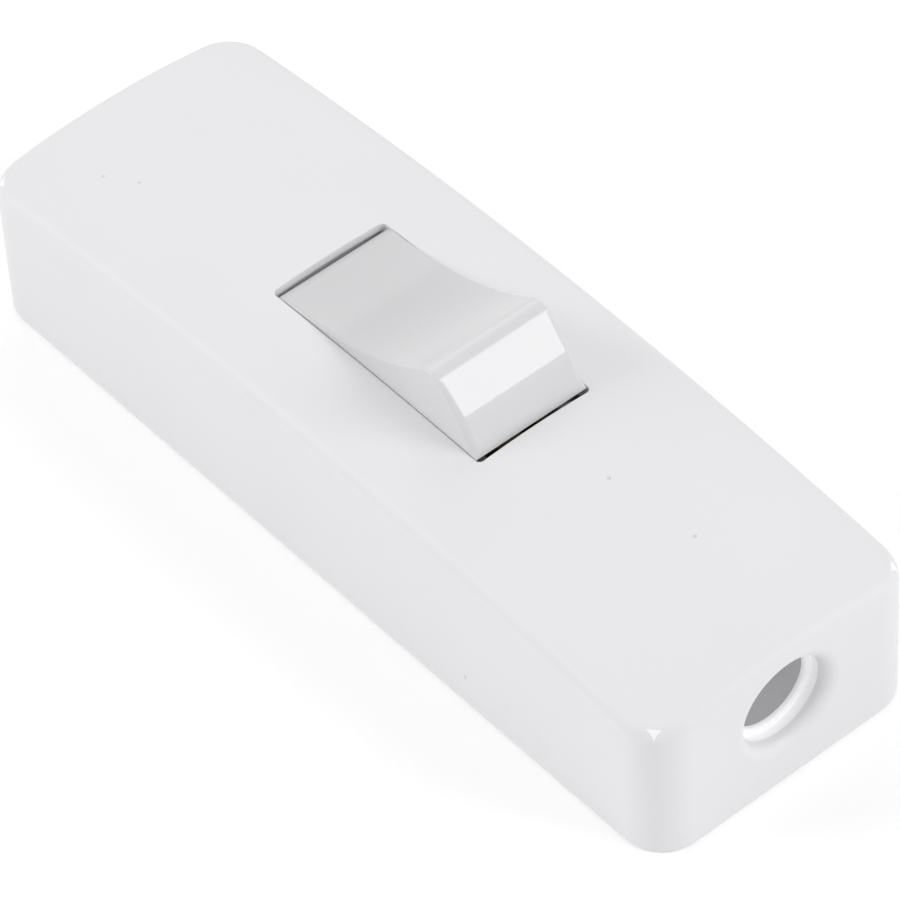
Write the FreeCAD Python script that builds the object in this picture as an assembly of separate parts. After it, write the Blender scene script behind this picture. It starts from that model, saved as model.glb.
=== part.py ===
import FreeCAD, Part
import math
import os

# Inline cord switch: a crowned two-part housing, a scooped rocker and a two-pole seesaw contact set.
# Millimetres. Origin in the middle of the foot, +X along the cord to the near end, +Z up.
# "right" pieces lie on +Y and "left" pieces are their mirror images on -Y.

# Housing
body_length = 80.0
body_width = 26.0
body_height = 16.6
end_drop = 2.4
side_drop = 1.2
corner_radius = 3.6
top_edge_radius = 1.4
foot_chamfer = 0.3
side_wall = 2.0
end_wall = 2.5
roof_wall = 1.8
inner_corner_radius = 1.6
foot_rim = 1.0
base_thickness = 2.0
seam_clearance = 0.15

# Cord entries, one in each end wall
entry_radius = 3.5
entry_flare = 1.0
entry_depth = 6.1

# Window in the roof and the bearings under it
window_length = 24.3
window_width = 11.1
window_corner_radius = 0.45
window_lip = 0.75
pivot_depth = 5.0
trunnion_radius = 1.1
running_clearance = 0.05
lug_half_length = 2.8
lug_thickness = 2.0
lug_wall = 0.75
snap_neck = 1.8
trunnion_end_gap = 0.25

# Rocker
rocker_half_tilt = 17.5
rocker_end_gap = 0.3
rocker_side_gap = 0.1
crest_setback = 2.75
crest_height = 8.1
scoop_depth = 1.65
nose_angle = 70.8
skirt_angle = 86.6
crest_rounding = 1.5
nose_rounding = 0.6
rocker_edge_radius = 0.6
rocker_top_wall = 1.5
rocker_end_wall = 1.3
rocker_side_wall = 1.1
cheek_half_length = 4.0
cheek_wall = 0.6
web_thickness = 1.0
web_bottom = 1.0

# Plungers and their springs, one for each pole
plunger_radius = 1.25
plunger_nose_radius = 1.0
plunger_engagement = 2.0
tube_wall = 0.7
tube_nose_clearance = 2.15
spigot_radius = 0.65
spigot_length = 1.8
spring_wire_radius = 0.17
spring_side_clearance = 0.15
spring_end_clearance = 0.02
spring_turns = 5
spring_steps = 8
spring_wire_sides = 4
nose_gap = 0.1

# Seesaw contacts
sheet = 0.7
arm_sheet = 0.8
arm_lift = 0.12
seesaw_drop = 5.1
seesaw_swing = 10.5
contact_arm = 7.6
idle_arm = 7.4
arm_side_gap = 0.5
pin_radius = 0.8
pin_overhang = 0.05
ear_gap = 0.2
ear_half_width = 1.5
ear_foot_half_width = 2.2
ear_rise = 0.8
contact_reach = 6.2
contact_head = 0.9
contact_gap = 0.05
contact_shank_radius = 0.7
fixed_contact_radius = 1.4
fixed_contact_stake = 0.6
stake_clearance = 0.15

# Terminals and their wire cages
terminal_start = 3.0
terminal_width = 5.0
bend_radius = 0.7
cage_height = 5.75
cage_rocker_gap = 0.2
cage_wall_gap = 0.12
cage_leg_gap = 0.5
joggle_run = 0.9
terminal_screw_radius = 1.2
collar_wall = 0.4
collar_height = 0.9
wire_room = 1.8
terminal_head_rim = 0.65
terminal_head_height = 1.5
neck_width = 3.0

# Ribs, posts and barriers moulded on the base
barrier_half = 0.4
barrier_gap = 0.15
barrier_rise = 0.7
post_inset = 0.2
idle_stop_start = 6.0
idle_stop_width = 1.2
idle_stop_gap = 0.12
idle_stop_inset = 0.3
rocker_stop_gap = 0.3
rocker_stop_inset = 0.15
rocker_stop_width = 1.0
fence_width = 0.8
fence_height = 1.6
fence_gap = 0.15

# Cord clamps
clamp_inset = 8.0
clamp_length = 5.0
clamp_rib = 0.4
clamp_rib_length = 1.2
clamp_seat_drop = 0.5
saddle_drop = 1.1
saddle_wall = 1.1
clamp_arch_wall = 1.3
clamp_ear = 1.8
clamp_screw_y = 7.2
clamp_column_radius = 2.2
clamp_screw_radius = 0.9
clamp_hole_radius = 1.15
clamp_screw_bite = 4.0
clamp_head_radius = 1.9
clamp_head_height = 1.4
clamp_ear_margin = 0.2

# Housing screws, driven up from the foot
boss_radius = 2.7
boss_gap = 2.0
pad_radius = 3.4
housing_screw_radius = 1.3
housing_screw_length = 8.0
housing_hole_radius = 1.5
housing_head_radius = 2.6
head_side_gap = 0.3
head_inset = 0.3
thread_clearance = 0.03
pilot_spare = 0.5

# Worked out from the sizes above
half_length = body_length / 2
half_width = body_width / 2
inner_half_length = half_length - end_wall
inner_half_width = half_width - side_wall
floor = base_thickness
entry_z = body_height - end_drop - entry_depth
pivot_z = body_height - pivot_depth

rocker_half_width = window_width / 2 - rocker_side_gap
rocker_inner_half = rocker_half_width - rocker_side_wall
end_curve_radius = (half_length ** 2 + end_drop ** 2) / (2 * end_drop)
side_curve_radius = (half_width ** 2 + side_drop ** 2) / (2 * side_drop)
window_drop = (window_length / 2) ** 2 / (2 * end_curve_radius)
rocker_radius = math.hypot(window_length / 2 - rocker_end_gap, pivot_depth - window_drop - window_lip)
crest_reach = rocker_radius - crest_setback
scoop_radius = (crest_reach ** 2 + scoop_depth ** 2) / (2 * scoop_depth)
scoop_centre = crest_height - scoop_depth + scoop_radius
tube_top = crest_height - scoop_depth - rocker_top_wall

seesaw_z = pivot_z - seesaw_drop
arm_top = arm_lift + arm_sheet
ear_start = barrier_half + barrier_gap
arm_start = ear_start + sheet + ear_gap
arm_end = rocker_inner_half - arm_side_gap
arm_width = arm_end - arm_start
pole_y = (arm_start + arm_end) / 2
ear_end = arm_end + ear_gap + sheet
nose_lift = (plunger_nose_radius + nose_gap + arm_top) / math.cos(math.radians(seesaw_swing))
nose_depth = seesaw_drop - nose_lift
nose_half_width = math.sqrt(plunger_radius ** 2 - plunger_nose_radius ** 2)
tube_end = -(nose_depth - tube_nose_clearance)
shoulder = tube_end + plunger_engagement
tube_bore = plunger_radius + running_clearance

pad_top = seesaw_z + arm_lift - 2 * contact_head - contact_gap
pad_foot = pad_top - sheet
stake_foot = pad_foot - fixed_contact_stake
cage_start = rocker_half_width + cage_rocker_gap
cage_end = inner_half_width - cage_wall_gap
cage_middle = (cage_start + cage_end) / 2
cage_top = floor + cage_height
terminal_end = terminal_start + terminal_width
terminal_screw_x = terminal_start + terminal_width / 2

clamp_x = inner_half_length - clamp_inset
clamp_seat = entry_z - clamp_seat_drop
clamp_ear_top = clamp_seat + clamp_ear
clamp_half_width = clamp_screw_y + clamp_column_radius + clamp_ear_margin
screw_x = (window_length / 2 + clamp_x - clamp_length / 2) / 2
boss_foot = floor + boss_gap
housing_screw_tip = floor + housing_screw_length
pilot_radius = housing_screw_radius + thread_clearance

# How close two places, or two unit directions, are to count as the same
same_place = 0.01
same_direction = 1e-6

ORIGIN = FreeCAD.Vector(0, 0, 0)
X_AXIS = FreeCAD.Vector(1, 0, 0)
Y_AXIS = FreeCAD.Vector(0, 1, 0)
Z_AXIS = FreeCAD.Vector(0, 0, 1)


def at(x, y, z):
    """Return a point."""
    return FreeCAD.Vector(x, y, z)


def block(x0, x1, y0, y1, z0, z1):
    """Return a box between two corners."""
    return Part.makeBox(x1 - x0, y1 - y0, z1 - z0, at(x0, y0, z0))


def rod(radius, start, end):
    """Return a round bar between two points."""
    run = end.sub(start)
    return Part.makeCylinder(radius, run.Length, start, run)


def joined(shapes):
    """Return one solid from shapes that overlap or share faces."""
    return shapes[0].fuse(shapes[1:]).removeSplitter()


def face_of(points):
    """Return the flat face inside a closed outline of straight lines."""
    return Part.Face(Part.makePolygon(points + points[:1]))


def straight_along(edge, axis):
    """Say whether an edge is straight and runs along an axis."""
    if not isinstance(edge.Curve, Part.Line):
        return False
    return edge.tangentAt(edge.FirstParameter).cross(axis).Length < same_direction


def rounded_plan(half_x, half_y, radius, z0, z1):
    """Return an upright prism with a round-cornered rectangular plan."""
    solid = block(-half_x, half_x, -half_y, half_y, z0, z1)
    uprights = [edge for edge in solid.Edges if straight_along(edge, Z_AXIS)]
    return solid.makeFillet(radius, uprights)


def mirrored(shape):
    """Return the left-hand twin of a right-hand shape."""
    return shape.mirror(ORIGIN, Y_AXIS)


def turned_crown(section):
    """Return the solid that a section across the housing makes when it follows the top's lengthwise curve."""
    swing = math.degrees(math.asin((half_length + corner_radius) / (end_curve_radius - 2 * body_height)))
    axis_point = at(0, 0, body_height - end_curve_radius)
    section.rotate(axis_point, Y_AXIS, -swing)
    return section.revolve(axis_point, Y_AXIS, 2 * swing)


def crown(depth):
    """Return the space under the doubly curved top, lowered by a depth all over."""
    centre_z = body_height - side_curve_radius
    radius = side_curve_radius - depth
    reach = half_width + side_wall
    edge_z = centre_z + math.sqrt(radius ** 2 - reach ** 2)
    low_z = -body_height
    arc = Part.Arc(at(0, -reach, edge_z), at(0, 0, centre_z + radius), at(0, reach, edge_z)).toShape()
    sides = Part.makePolygon([at(0, reach, edge_z), at(0, reach, low_z),
                              at(0, -reach, low_z), at(0, -reach, edge_z)])
    return turned_crown(Part.Face(Part.Wire([arc] + sides.Edges)))


def rounded_crown():
    """Return the space under the top between the side walls, with its long rims rounded."""
    centre = at(0, 0, body_height - side_curve_radius)
    rim_y = half_width - top_edge_radius
    rim_rise = math.sqrt((side_curve_radius - top_edge_radius) ** 2 - rim_y ** 2)
    rim = centre + at(0, rim_y, rim_rise)
    outward = at(0, rim_y, rim_rise).normalize()
    top_end = centre + outward * side_curve_radius
    middle = rim + (outward + Y_AXIS).normalize() * top_edge_radius
    wall_top = rim + Y_AXIS * top_edge_radius
    arcs = [Part.Arc(top_end, middle, wall_top).toShape()]
    arcs.append(arcs[0].mirror(ORIGIN, Y_AXIS))
    arcs.append(Part.Arc(top_end, at(0, 0, body_height), at(0, -top_end.y, top_end.z)).toShape())
    low_z = -body_height
    sides = Part.makePolygon([wall_top, at(0, half_width, low_z), at(0, -half_width, low_z),
                              at(0, -half_width, wall_top.z)])
    return turned_crown(Part.Face(Part.Wire(Part.sortEdges(arcs + sides.Edges)[0])))


def housing_block():
    """Return the outer form of the housing: filleted ends and a middle whose rims follow the top's curve."""
    form = rounded_plan(half_length, half_width, corner_radius, 0, body_height).common(crown(0))
    rims = [edge for edge in form.Edges if not straight_along(edge, Z_AXIS)]
    top_rim = [edge for edge in rims if edge.CenterOfMass.z > body_height / 2]
    form = form.makeFillet(top_edge_radius, top_rim)
    foot_edges = [edge for edge in form.Edges if edge.BoundBox.ZMax < foot_chamfer / 2]
    form = form.makeChamfer(foot_chamfer, foot_edges)
    reach = half_length - corner_radius - top_edge_radius / 2
    middle = block(-reach, reach, -half_width, half_width, body_height / 2, body_height)
    return form.cut(middle).fuse([middle.common(rounded_crown())], same_place).removeSplitter()


def entry_cutter(end):
    """Return the flared round hole for the cord at one end, +1 near or -1 far."""
    mouth = at(end * half_length, 0, entry_z)
    throat = at(end * (inner_half_length - entry_flare), 0, entry_z)
    flare = Part.makeCone(entry_radius + entry_flare, entry_radius, entry_flare, mouth, X_AXIS * -end)
    return rod(entry_radius, throat, mouth).fuse(flare)


def bearing_lug():
    """Return the right-hand lug that a rocker trunnion snaps up into."""
    inner = window_width / 2
    outer = inner + lug_thickness
    bore = trunnion_radius + running_clearance
    lug = block(-lug_half_length, lug_half_length, inner, outer, pivot_z - bore - lug_wall, body_height)
    lug = lug.common(crown(roof_wall / 2))
    hole = rod(bore, at(0, inner, pivot_z), at(0, outer, pivot_z))
    neck = block(-snap_neck / 2, snap_neck / 2, inner, outer, 0, pivot_z)
    return lug.cut(hole.fuse(neck))


def screw_boss(x):
    """Return the post that a housing screw bites into, from the roof down to the base."""
    post = rod(boss_radius, at(x, 0, boss_foot), at(x, 0, body_height))
    pilot = rod(pilot_radius, at(x, 0, 0), at(x, 0, housing_screw_tip + pilot_spare))
    return post.common(crown(roof_wall / 2)).cut(pilot)


def cover():
    """Return the five-sided housing shell with its window, cord entries, lugs and bosses."""
    hollow = rounded_plan(inner_half_length, inner_half_width, inner_corner_radius, -floor, body_height)
    seat = rounded_plan(half_length - foot_rim, half_width - foot_rim, corner_radius - foot_rim,
                        -floor, floor)
    window = rounded_plan(window_length / 2, window_width / 2, window_corner_radius, floor, 2 * body_height)
    sweep = rod(rocker_radius + rocker_end_gap, at(0, -window_width / 2, pivot_z),
                at(0, window_width / 2, pivot_z))
    shell = housing_block().cut([hollow.common(crown(roof_wall)), seat, window, sweep])
    shell = shell.cut([entry_cutter(end) for end in (1, -1)])
    lug = bearing_lug()
    return joined([shell, lug, mirrored(lug), screw_boss(screw_x), screw_boss(-screw_x)])


def screw_pad(x):
    """Return the raised seat under one boss."""
    return rod(pad_radius, at(x, 0, 0), at(x, 0, boss_foot))


def screw_pad_holes(x):
    """Return the clearance hole and the head recess of one housing screw."""
    hole = rod(housing_hole_radius, at(x, 0, 0), at(x, 0, boss_foot))
    recess = rod(housing_head_radius + head_side_gap, at(x, 0, 0), at(x, 0, floor))
    return hole.fuse(recess)


def cord_channel(x, radius, length):
    """Return the round space that the cord takes along one clamp."""
    return rod(radius, at(x - length / 2, 0, entry_z), at(x + length / 2, 0, entry_z))


def grip_rib(x, low, high):
    """Return the ring-shaped rib that bites the cord, between two heights."""
    ring = cord_channel(x, entry_radius + clamp_rib, clamp_rib_length)
    ring = ring.cut(cord_channel(x, entry_radius - clamp_rib, clamp_rib_length))
    reach = entry_radius + saddle_wall
    return ring.common(block(x - clamp_length, x + clamp_length, -reach, reach, low, high))


def clamp_saddle(x):
    """Return the moulded lower half of one cord clamp with its two screw columns."""
    reach = entry_radius + saddle_wall
    top = entry_z - saddle_drop
    bed = block(x - clamp_length / 2, x + clamp_length / 2, -reach, reach, floor, top)
    bed = joined([bed.cut(cord_channel(x, entry_radius, clamp_length)), grip_rib(x, floor, top)])
    pieces = [bed]
    for side in (1, -1):
        y = side * clamp_screw_y
        column = rod(clamp_column_radius, at(x, y, floor), at(x, y, clamp_seat))
        pilot_foot = clamp_seat - clamp_screw_bite - pilot_spare
        pilot = rod(clamp_screw_radius + thread_clearance, at(x, y, pilot_foot), at(x, y, clamp_seat))
        pieces.append(column.cut(pilot))
    return pieces


def contact_post():
    """Return the right-hand post that the fixed contact's pad lies on."""
    outer = rocker_half_width - joggle_run - bend_radius
    return block(-terminal_end + post_inset, -terminal_start - post_inset,
                 ear_start + 2 * post_inset, outer, floor, pad_foot)


def stake_hole():
    """Return the room for the right-hand fixed contact's stake."""
    low = stake_foot - stake_clearance
    return rod(contact_shank_radius + stake_clearance, at(-contact_reach, pole_y, low),
               at(-contact_reach, pole_y, pad_foot))


def idle_stop():
    """Return the right-hand post that the seesaw's idle arm lies on when the switch is off."""
    return block(idle_stop_start, idle_stop_start + idle_stop_width,
                 arm_start + idle_stop_inset, arm_end - idle_stop_inset,
                 floor, seesaw_z + arm_lift - idle_stop_gap)


def rocker_stop(end):
    """Return the cross rib that the rocker's skirt comes down on at one end."""
    low = math.radians(skirt_angle + rocker_half_tilt)
    outer = rocker_radius * math.sin(low) - rocker_stop_inset
    top = pivot_z + rocker_radius * math.cos(low) - rocker_stop_gap
    x0, x1 = sorted((end * outer, end * (outer - rocker_stop_width)))
    return block(x0, x1, -rocker_inner_half, rocker_inner_half, floor, top)


def cage_fences():
    """Return the right-hand low ribs that keep the wire cages in place."""
    fences = []
    for end in (1, -1):
        for near in (terminal_start - fence_gap - fence_width, terminal_end + fence_gap):
            x0, x1 = sorted((end * near, end * (near + fence_width)))
            fences.append(block(x0, x1, cage_start + fence_gap, cage_end, floor, floor + fence_height))
    return fences


def base():
    """Return the base plate with everything that is moulded on it."""
    plate = rounded_plan(half_length - foot_rim - seam_clearance, half_width - foot_rim - seam_clearance,
                         corner_radius - foot_rim - seam_clearance, 0, floor)
    reach = rocker_radius * math.sin(math.radians(skirt_angle + rocker_half_tilt)) - rocker_stop_width
    barrier = block(-reach, reach, -barrier_half, barrier_half, floor, seesaw_z + barrier_rise)
    pieces = [plate, barrier]
    right_hand = [contact_post(), idle_stop()] + cage_fences()
    pieces += right_hand
    pieces += [mirrored(piece) for piece in right_hand]
    for end in (1, -1):
        pieces.append(screw_pad(end * screw_x))
        pieces.append(rocker_stop(end))
        pieces += clamp_saddle(end * clamp_x)
    holes = [screw_pad_holes(end * screw_x) for end in (1, -1)]
    return joined(pieces).cut(holes + [stake_hole(), mirrored(stake_hole())])


def on_end_arc(angle):
    """Return a point of the rocker's near end arc, at an angle from its upright axis."""
    turn = math.radians(angle)
    return at(rocker_radius * math.sin(turn), 0, rocker_radius * math.cos(turn))


def beyond_nose(depth, half_y):
    """Return the waste outside both flat noses of the rocker, moved inwards by a depth."""
    crest = at(crest_reach, 0, crest_height)
    corner = on_end_arc(nose_angle)
    along = corner.sub(crest).normalize()
    outward = at(-along.z, 0, along.x)
    start = crest - along * rocker_radius - outward * depth
    end = corner + along * rocker_radius - outward * depth
    far = outward * rocker_radius
    points = [point - Y_AXIS * half_y for point in (start, end, end + far, start + far)]
    near_waste = face_of(points).extrude(Y_AXIS * (2 * half_y))
    return near_waste.fuse(near_waste.mirror(ORIGIN, X_AXIS))


def rocker_hollow():
    """Return the space inside the rocker's shell."""
    half_y = rocker_inner_half
    drum = rod(rocker_radius - rocker_end_wall, at(0, -half_y, 0), at(0, half_y, 0))
    scoop = rod(scoop_radius + rocker_top_wall, at(0, -half_y, scoop_centre), at(0, half_y, scoop_centre))
    return drum.cut([scoop, beyond_nose(rocker_end_wall, half_y)])


def rocker_outline():
    """Return the rocker's closed side outline: scoop, crests, flat noses, end arcs and cheeks."""
    crest = at(crest_reach, 0, crest_height)
    corner = on_end_arc(nose_angle)
    hem = on_end_arc(skirt_angle)
    cheek = at(cheek_half_length, 0, -trunnion_radius - cheek_wall)
    end = [Part.makeLine(crest, corner),
           Part.Arc(corner, on_end_arc((nose_angle + skirt_angle) / 2), hem).toShape()]
    end += Part.makePolygon([hem, at(rocker_radius - rocker_end_wall, 0, hem.z), cheek]).Edges
    end += [edge.mirror(ORIGIN, X_AXIS) for edge in end]
    scoop = Part.Arc(crest, at(0, 0, crest_height - scoop_depth), at(-crest.x, 0, crest.z)).toShape()
    foot = Part.makeLine(cheek, at(-cheek.x, 0, cheek.z))
    return Part.Wire(Part.sortEdges(end + [scoop, foot])[0])


def rocker_outer():
    """Return the rocker's outer form as a solid block with its ridges and side edges rounded."""
    face = Part.Face(rocker_outline())
    face.translate(at(0, -rocker_half_width, 0))
    form = face.extrude(Y_AXIS * (2 * rocker_half_width))
    for point, radius in ((at(crest_reach, 0, crest_height), crest_rounding),
                          (on_end_arc(nose_angle), nose_rounding)):
        ridges = [edge for edge in form.Edges if straight_along(edge, Y_AXIS) and math.hypot(
            abs(edge.CenterOfMass.x) - point.x, edge.CenterOfMass.z - point.z) < same_place]
        form = form.makeFillet(radius, ridges)
    hem_z = on_end_arc(skirt_angle).z
    sides = [edge for edge in form.Edges
             if edge.BoundBox.YLength < same_place and edge.BoundBox.ZMax > hem_z + same_place]
    return form.makeFillet(rocker_edge_radius, sides)


def in_rocker(shape):
    """Return a shape moved from the rocker's own upright frame to the off position."""
    placed = shape.copy()
    placed.rotate(ORIGIN, Y_AXIS, -rocker_half_tilt)
    placed.translate(at(0, 0, pivot_z))
    return placed


def plunger_tube(side):
    """Return the guide tube of one plunger under the rocker's top."""
    y = side * pole_y
    return rod(tube_bore + tube_wall, at(0, y, tube_end), at(0, y, tube_top + rocker_top_wall / 2))


def rocker():
    """Return the moulded rocker: hollow shell, trunnions, plunger tubes and stiffening web."""
    outer = rocker_outer()
    shell = outer.cut(rocker_hollow())
    web = block(-rocker_radius, rocker_radius, -web_thickness / 2, web_thickness / 2,
                web_bottom, tube_top + rocker_top_wall / 2)
    pieces = [shell, web.common(outer)]
    trunnion_reach = window_width / 2 + lug_thickness - trunnion_end_gap
    for side in (1, -1):
        start = at(0, side * (rocker_half_width - rocker_side_wall / 2), 0)
        pieces.append(rod(trunnion_radius, start, at(0, side * trunnion_reach, 0)))
        pieces.append(plunger_tube(side))
    bore = rod(tube_bore, at(0, pole_y, tube_end), at(0, pole_y, tube_top))
    return in_rocker(joined(pieces).cut([bore, mirrored(bore)]))


def plunger():
    """Return the right-hand plunger with its rounded nose, stem and spring spigot."""
    nose = rod(plunger_nose_radius, at(0, pole_y - nose_half_width, -nose_depth),
               at(0, pole_y + nose_half_width, -nose_depth))
    stem = rod(plunger_radius, at(0, pole_y, -nose_depth), at(0, pole_y, shoulder))
    spigot = rod(spigot_radius, at(0, pole_y, shoulder), at(0, pole_y, shoulder + spigot_length))
    return in_rocker(joined([nose, stem, spigot]))


def plunger_spring():
    """Return the right-hand coil spring between the plunger's shoulder and the closed end of its tube."""
    coil_radius = tube_bore - spring_side_clearance - spring_wire_radius
    low = shoulder + spring_end_clearance + spring_wire_radius
    height = tube_top - spring_end_clearance - spring_wire_radius - low
    count = spring_turns * spring_steps
    points = []
    for step in range(count + 1):
        turn = 2 * math.pi * step / spring_steps
        points.append(at(coil_radius * math.cos(turn), pole_y + coil_radius * math.sin(turn),
                         low + height * step / count))
    run = points[1].sub(points[0]).normalize()
    across = run.cross(Z_AXIS).normalize()
    up = across.cross(run)
    wire = []
    for side in range(spring_wire_sides):
        turn = 2 * math.pi * side / spring_wire_sides
        wire.append(points[0] + (across * math.cos(turn) + up * math.sin(turn)) * spring_wire_radius)
    section = Part.makePolygon(wire + wire[:1])
    right_corners = 1
    return in_rocker(Part.makePolygon(points).makePipeShell([section], True, True, right_corners))


def in_seesaw(shape):
    """Return a shape moved from the seesaw's own level frame to the off position."""
    placed = shape.copy()
    placed.rotate(ORIGIN, Y_AXIS, seesaw_swing)
    placed.translate(at(0, pole_y, seesaw_z))
    return placed


def on_contact_arm(shape):
    """Return a shape turned up with the contact arm of the seesaw."""
    raised = shape.copy()
    raised.rotate(ORIGIN, Y_AXIS, seesaw_swing)
    return raised


def seesaw():
    """Return the right-hand seesaw: two raised arms on a round pin."""
    half = arm_width / 2
    live = block(-contact_arm, 0, -half, half, arm_lift, arm_top)
    live = live.cut(rod(contact_shank_radius, at(-contact_reach, 0, 0), at(-contact_reach, 0, arm_top)))
    idle = block(0, idle_arm, -half, half, arm_lift, arm_top)
    idle.rotate(ORIGIN, Y_AXIS, -seesaw_swing)
    reach = half + ear_gap + sheet + pin_overhang
    pin = rod(pin_radius, at(0, -reach, 0), at(0, reach, 0))
    return in_seesaw(joined([on_contact_arm(live), idle, pin]))


def moving_contact():
    """Return the right-hand contact rivet set in the seesaw's contact arm."""
    x = -contact_reach
    head = rod(arm_width / 2, at(x, 0, arm_lift - contact_head), at(x, 0, arm_lift))
    shank = rod(contact_shank_radius, at(x, 0, arm_lift), at(x, 0, arm_top))
    return in_seesaw(on_contact_arm(joined([head, shank])))


def fixed_contact():
    """Return the right-hand contact rivet set in the switched terminal's pad."""
    x = -contact_reach
    head = rod(fixed_contact_radius, at(x, pole_y, pad_top), at(x, pole_y, pad_top + contact_head))
    stake = rod(contact_shank_radius, at(x, pole_y, stake_foot), at(x, pole_y, pad_top))
    return joined([head, stake])


def strip_side(points, offset):
    """Return the edges of one face of a bent strip, a distance to the left of its mid-line."""
    edges = []
    start = None
    for before, corner, after in zip(points, points[1:], points[2:]):
        run_in = corner.sub(before).normalize()
        run_out = after.sub(corner).normalize()
        turn = math.copysign(1, run_in.cross(run_out).x)
        trim = bend_radius * math.tan(run_in.getAngle(run_out) / 2)
        left_in = X_AXIS.cross(run_in)
        left_out = X_AXIS.cross(run_out)
        if start is None:
            start = before + left_in * offset
        centre = corner - run_in * trim + left_in * (turn * bend_radius)
        middle = centre + corner.sub(centre).normalize() * (bend_radius - turn * offset)
        arc_start = corner - run_in * trim + left_in * offset
        arc_end = corner + run_out * trim + left_out * offset
        edges.append(Part.makeLine(start, arc_start))
        edges.append(Part.Arc(arc_start, middle, arc_end).toShape())
        start = arc_end
    edges.append(Part.makeLine(start, points[-1] + left_out * offset))
    return edges


def bent_strip(points, x0, x1):
    """Return a folded sheet strip between two x, along a mid-line of (y, z) points."""
    line = [at(x0, y, z) for y, z in points]
    left = strip_side(line, sheet / 2)
    right = strip_side(line, -sheet / 2)
    caps = [Part.makeLine(left[0].Vertexes[0].Point, right[0].Vertexes[0].Point),
            Part.makeLine(left[-1].Vertexes[-1].Point, right[-1].Vertexes[-1].Point)]
    outline = Part.Wire(Part.sortEdges(left + right + caps)[0])
    return Part.Face(outline).extrude(X_AXIS * (x1 - x0))


def cage_line():
    """Return the mid-line of a wire cage from its floor round to its inner leg, as (y, z) points."""
    low = floor + sheet / 2
    high = cage_top - sheet / 2
    outer = cage_end - sheet / 2
    inner = cage_start + sheet / 2
    return [(outer, low), (outer, high), (inner, high), (inner, floor + sheet + cage_leg_gap)]


def with_threaded_collar(strip, x):
    """Return a cage strip with the threaded collar for its screw at one x."""
    low = cage_top - sheet - collar_height
    collar = rod(terminal_screw_radius + collar_wall, at(x, cage_middle, low),
                 at(x, cage_middle, cage_top - sheet / 2))
    hole = rod(terminal_screw_radius + running_clearance, at(x, cage_middle, low),
               at(x, cage_middle, cage_top))
    return joined([strip, collar]).cut(hole)


def seesaw_ear(y0):
    """Return one notched ear of the common terminal, starting at one y."""
    top = seesaw_z + ear_rise
    ear = face_of([at(-ear_foot_half_width, y0, floor), at(ear_foot_half_width, y0, floor),
                   at(ear_half_width, y0, top), at(-ear_half_width, y0, top)]).extrude(Y_AXIS * sheet)
    notch = pin_radius + running_clearance
    seat = rod(notch, at(0, y0, seesaw_z), at(0, y0 + sheet, seesaw_z))
    return ear.cut(seat.fuse(block(-notch, notch, y0, y0 + sheet, seesaw_z, top)))


def common_terminal():
    """Return the right-hand terminal that carries the seesaw and takes the incoming wire."""
    foot = block(-ear_foot_half_width, ear_foot_half_width, ear_start, ear_end, floor, floor + sheet)
    neck = block(ear_half_width, ear_foot_half_width + neck_width, ear_start, cage_start,
                 floor, floor + sheet)
    cage = bent_strip([(cage_start - cage_rocker_gap, floor + sheet / 2)] + cage_line(),
                      terminal_start, terminal_end)
    cage = with_threaded_collar(cage, terminal_screw_x)
    return joined([foot, neck, seesaw_ear(ear_start), seesaw_ear(ear_end - sheet), cage])


def switched_terminal():
    """Return the right-hand terminal that holds the fixed contact and takes the outgoing wire."""
    joggle_end = cage_start - cage_rocker_gap
    start = ear_start + post_inset
    line = [(start, pad_top - sheet / 2), (joggle_end - joggle_run, pad_top - sheet / 2),
            (joggle_end, floor + sheet / 2)]
    strip = bent_strip(line + cage_line(), -terminal_end, -terminal_start)
    strip = with_threaded_collar(strip, -terminal_screw_x)
    return strip.cut(rod(contact_shank_radius, at(-contact_reach, pole_y, floor),
                         at(-contact_reach, pole_y, pad_top)))


def cord_clamp(end):
    """Return the arched bar that is screwed down on the cord at one end."""
    x = end * clamp_x
    x0 = x - clamp_length / 2
    x1 = x + clamp_length / 2
    bar = block(x0, x1, -clamp_half_width, clamp_half_width, clamp_seat, clamp_ear_top)
    arch = cord_channel(x, entry_radius + clamp_arch_wall, clamp_length)
    reach = entry_radius + clamp_arch_wall
    arch = arch.common(block(x0, x1, -reach, reach, clamp_seat, entry_z + reach))
    body = joined([bar, arch]).cut(cord_channel(x, entry_radius, clamp_length))
    body = joined([body, grip_rib(x, clamp_seat, entry_z + reach)])
    holes = [rod(clamp_hole_radius, at(x, side * clamp_screw_y, clamp_seat),
                 at(x, side * clamp_screw_y, clamp_ear_top)) for side in (1, -1)]
    return body.cut(holes)


def plain_screw(x, y, seat, up, shank_radius, shank_length, head_radius, head_height):
    """Return a screw whose head stands on a seat, head upwards (+1) or downwards (-1)."""
    shank = rod(shank_radius, at(x, y, seat - up * shank_length), at(x, y, seat))
    head = rod(head_radius, at(x, y, seat), at(x, y, seat + up * head_height))
    return joined([shank, head])


def housing_screws():
    """Return the two screws that hold the base in the cover."""
    return [plain_screw(end * screw_x, 0, floor, -1, housing_screw_radius, housing_screw_length,
                          housing_head_radius, floor - head_inset) for end in (1, -1)]


def clamp_screws():
    """Return the four screws that pull the cord clamps down."""
    return [plain_screw(end * clamp_x, side * clamp_screw_y, clamp_ear_top, 1, clamp_screw_radius,
                          clamp_ear + clamp_screw_bite, clamp_head_radius, clamp_head_height)
            for end in (1, -1) for side in (1, -1)]


def terminal_screws():
    """Return the four screws that hold the wires in their cages."""
    shank = cage_height - sheet - wire_room
    return [plain_screw(end * terminal_screw_x, side * cage_middle, cage_top, 1, terminal_screw_radius,
                          shank, terminal_screw_radius + terminal_head_rim, terminal_head_height)
            for end in (1, -1) for side in (1, -1)]


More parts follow.
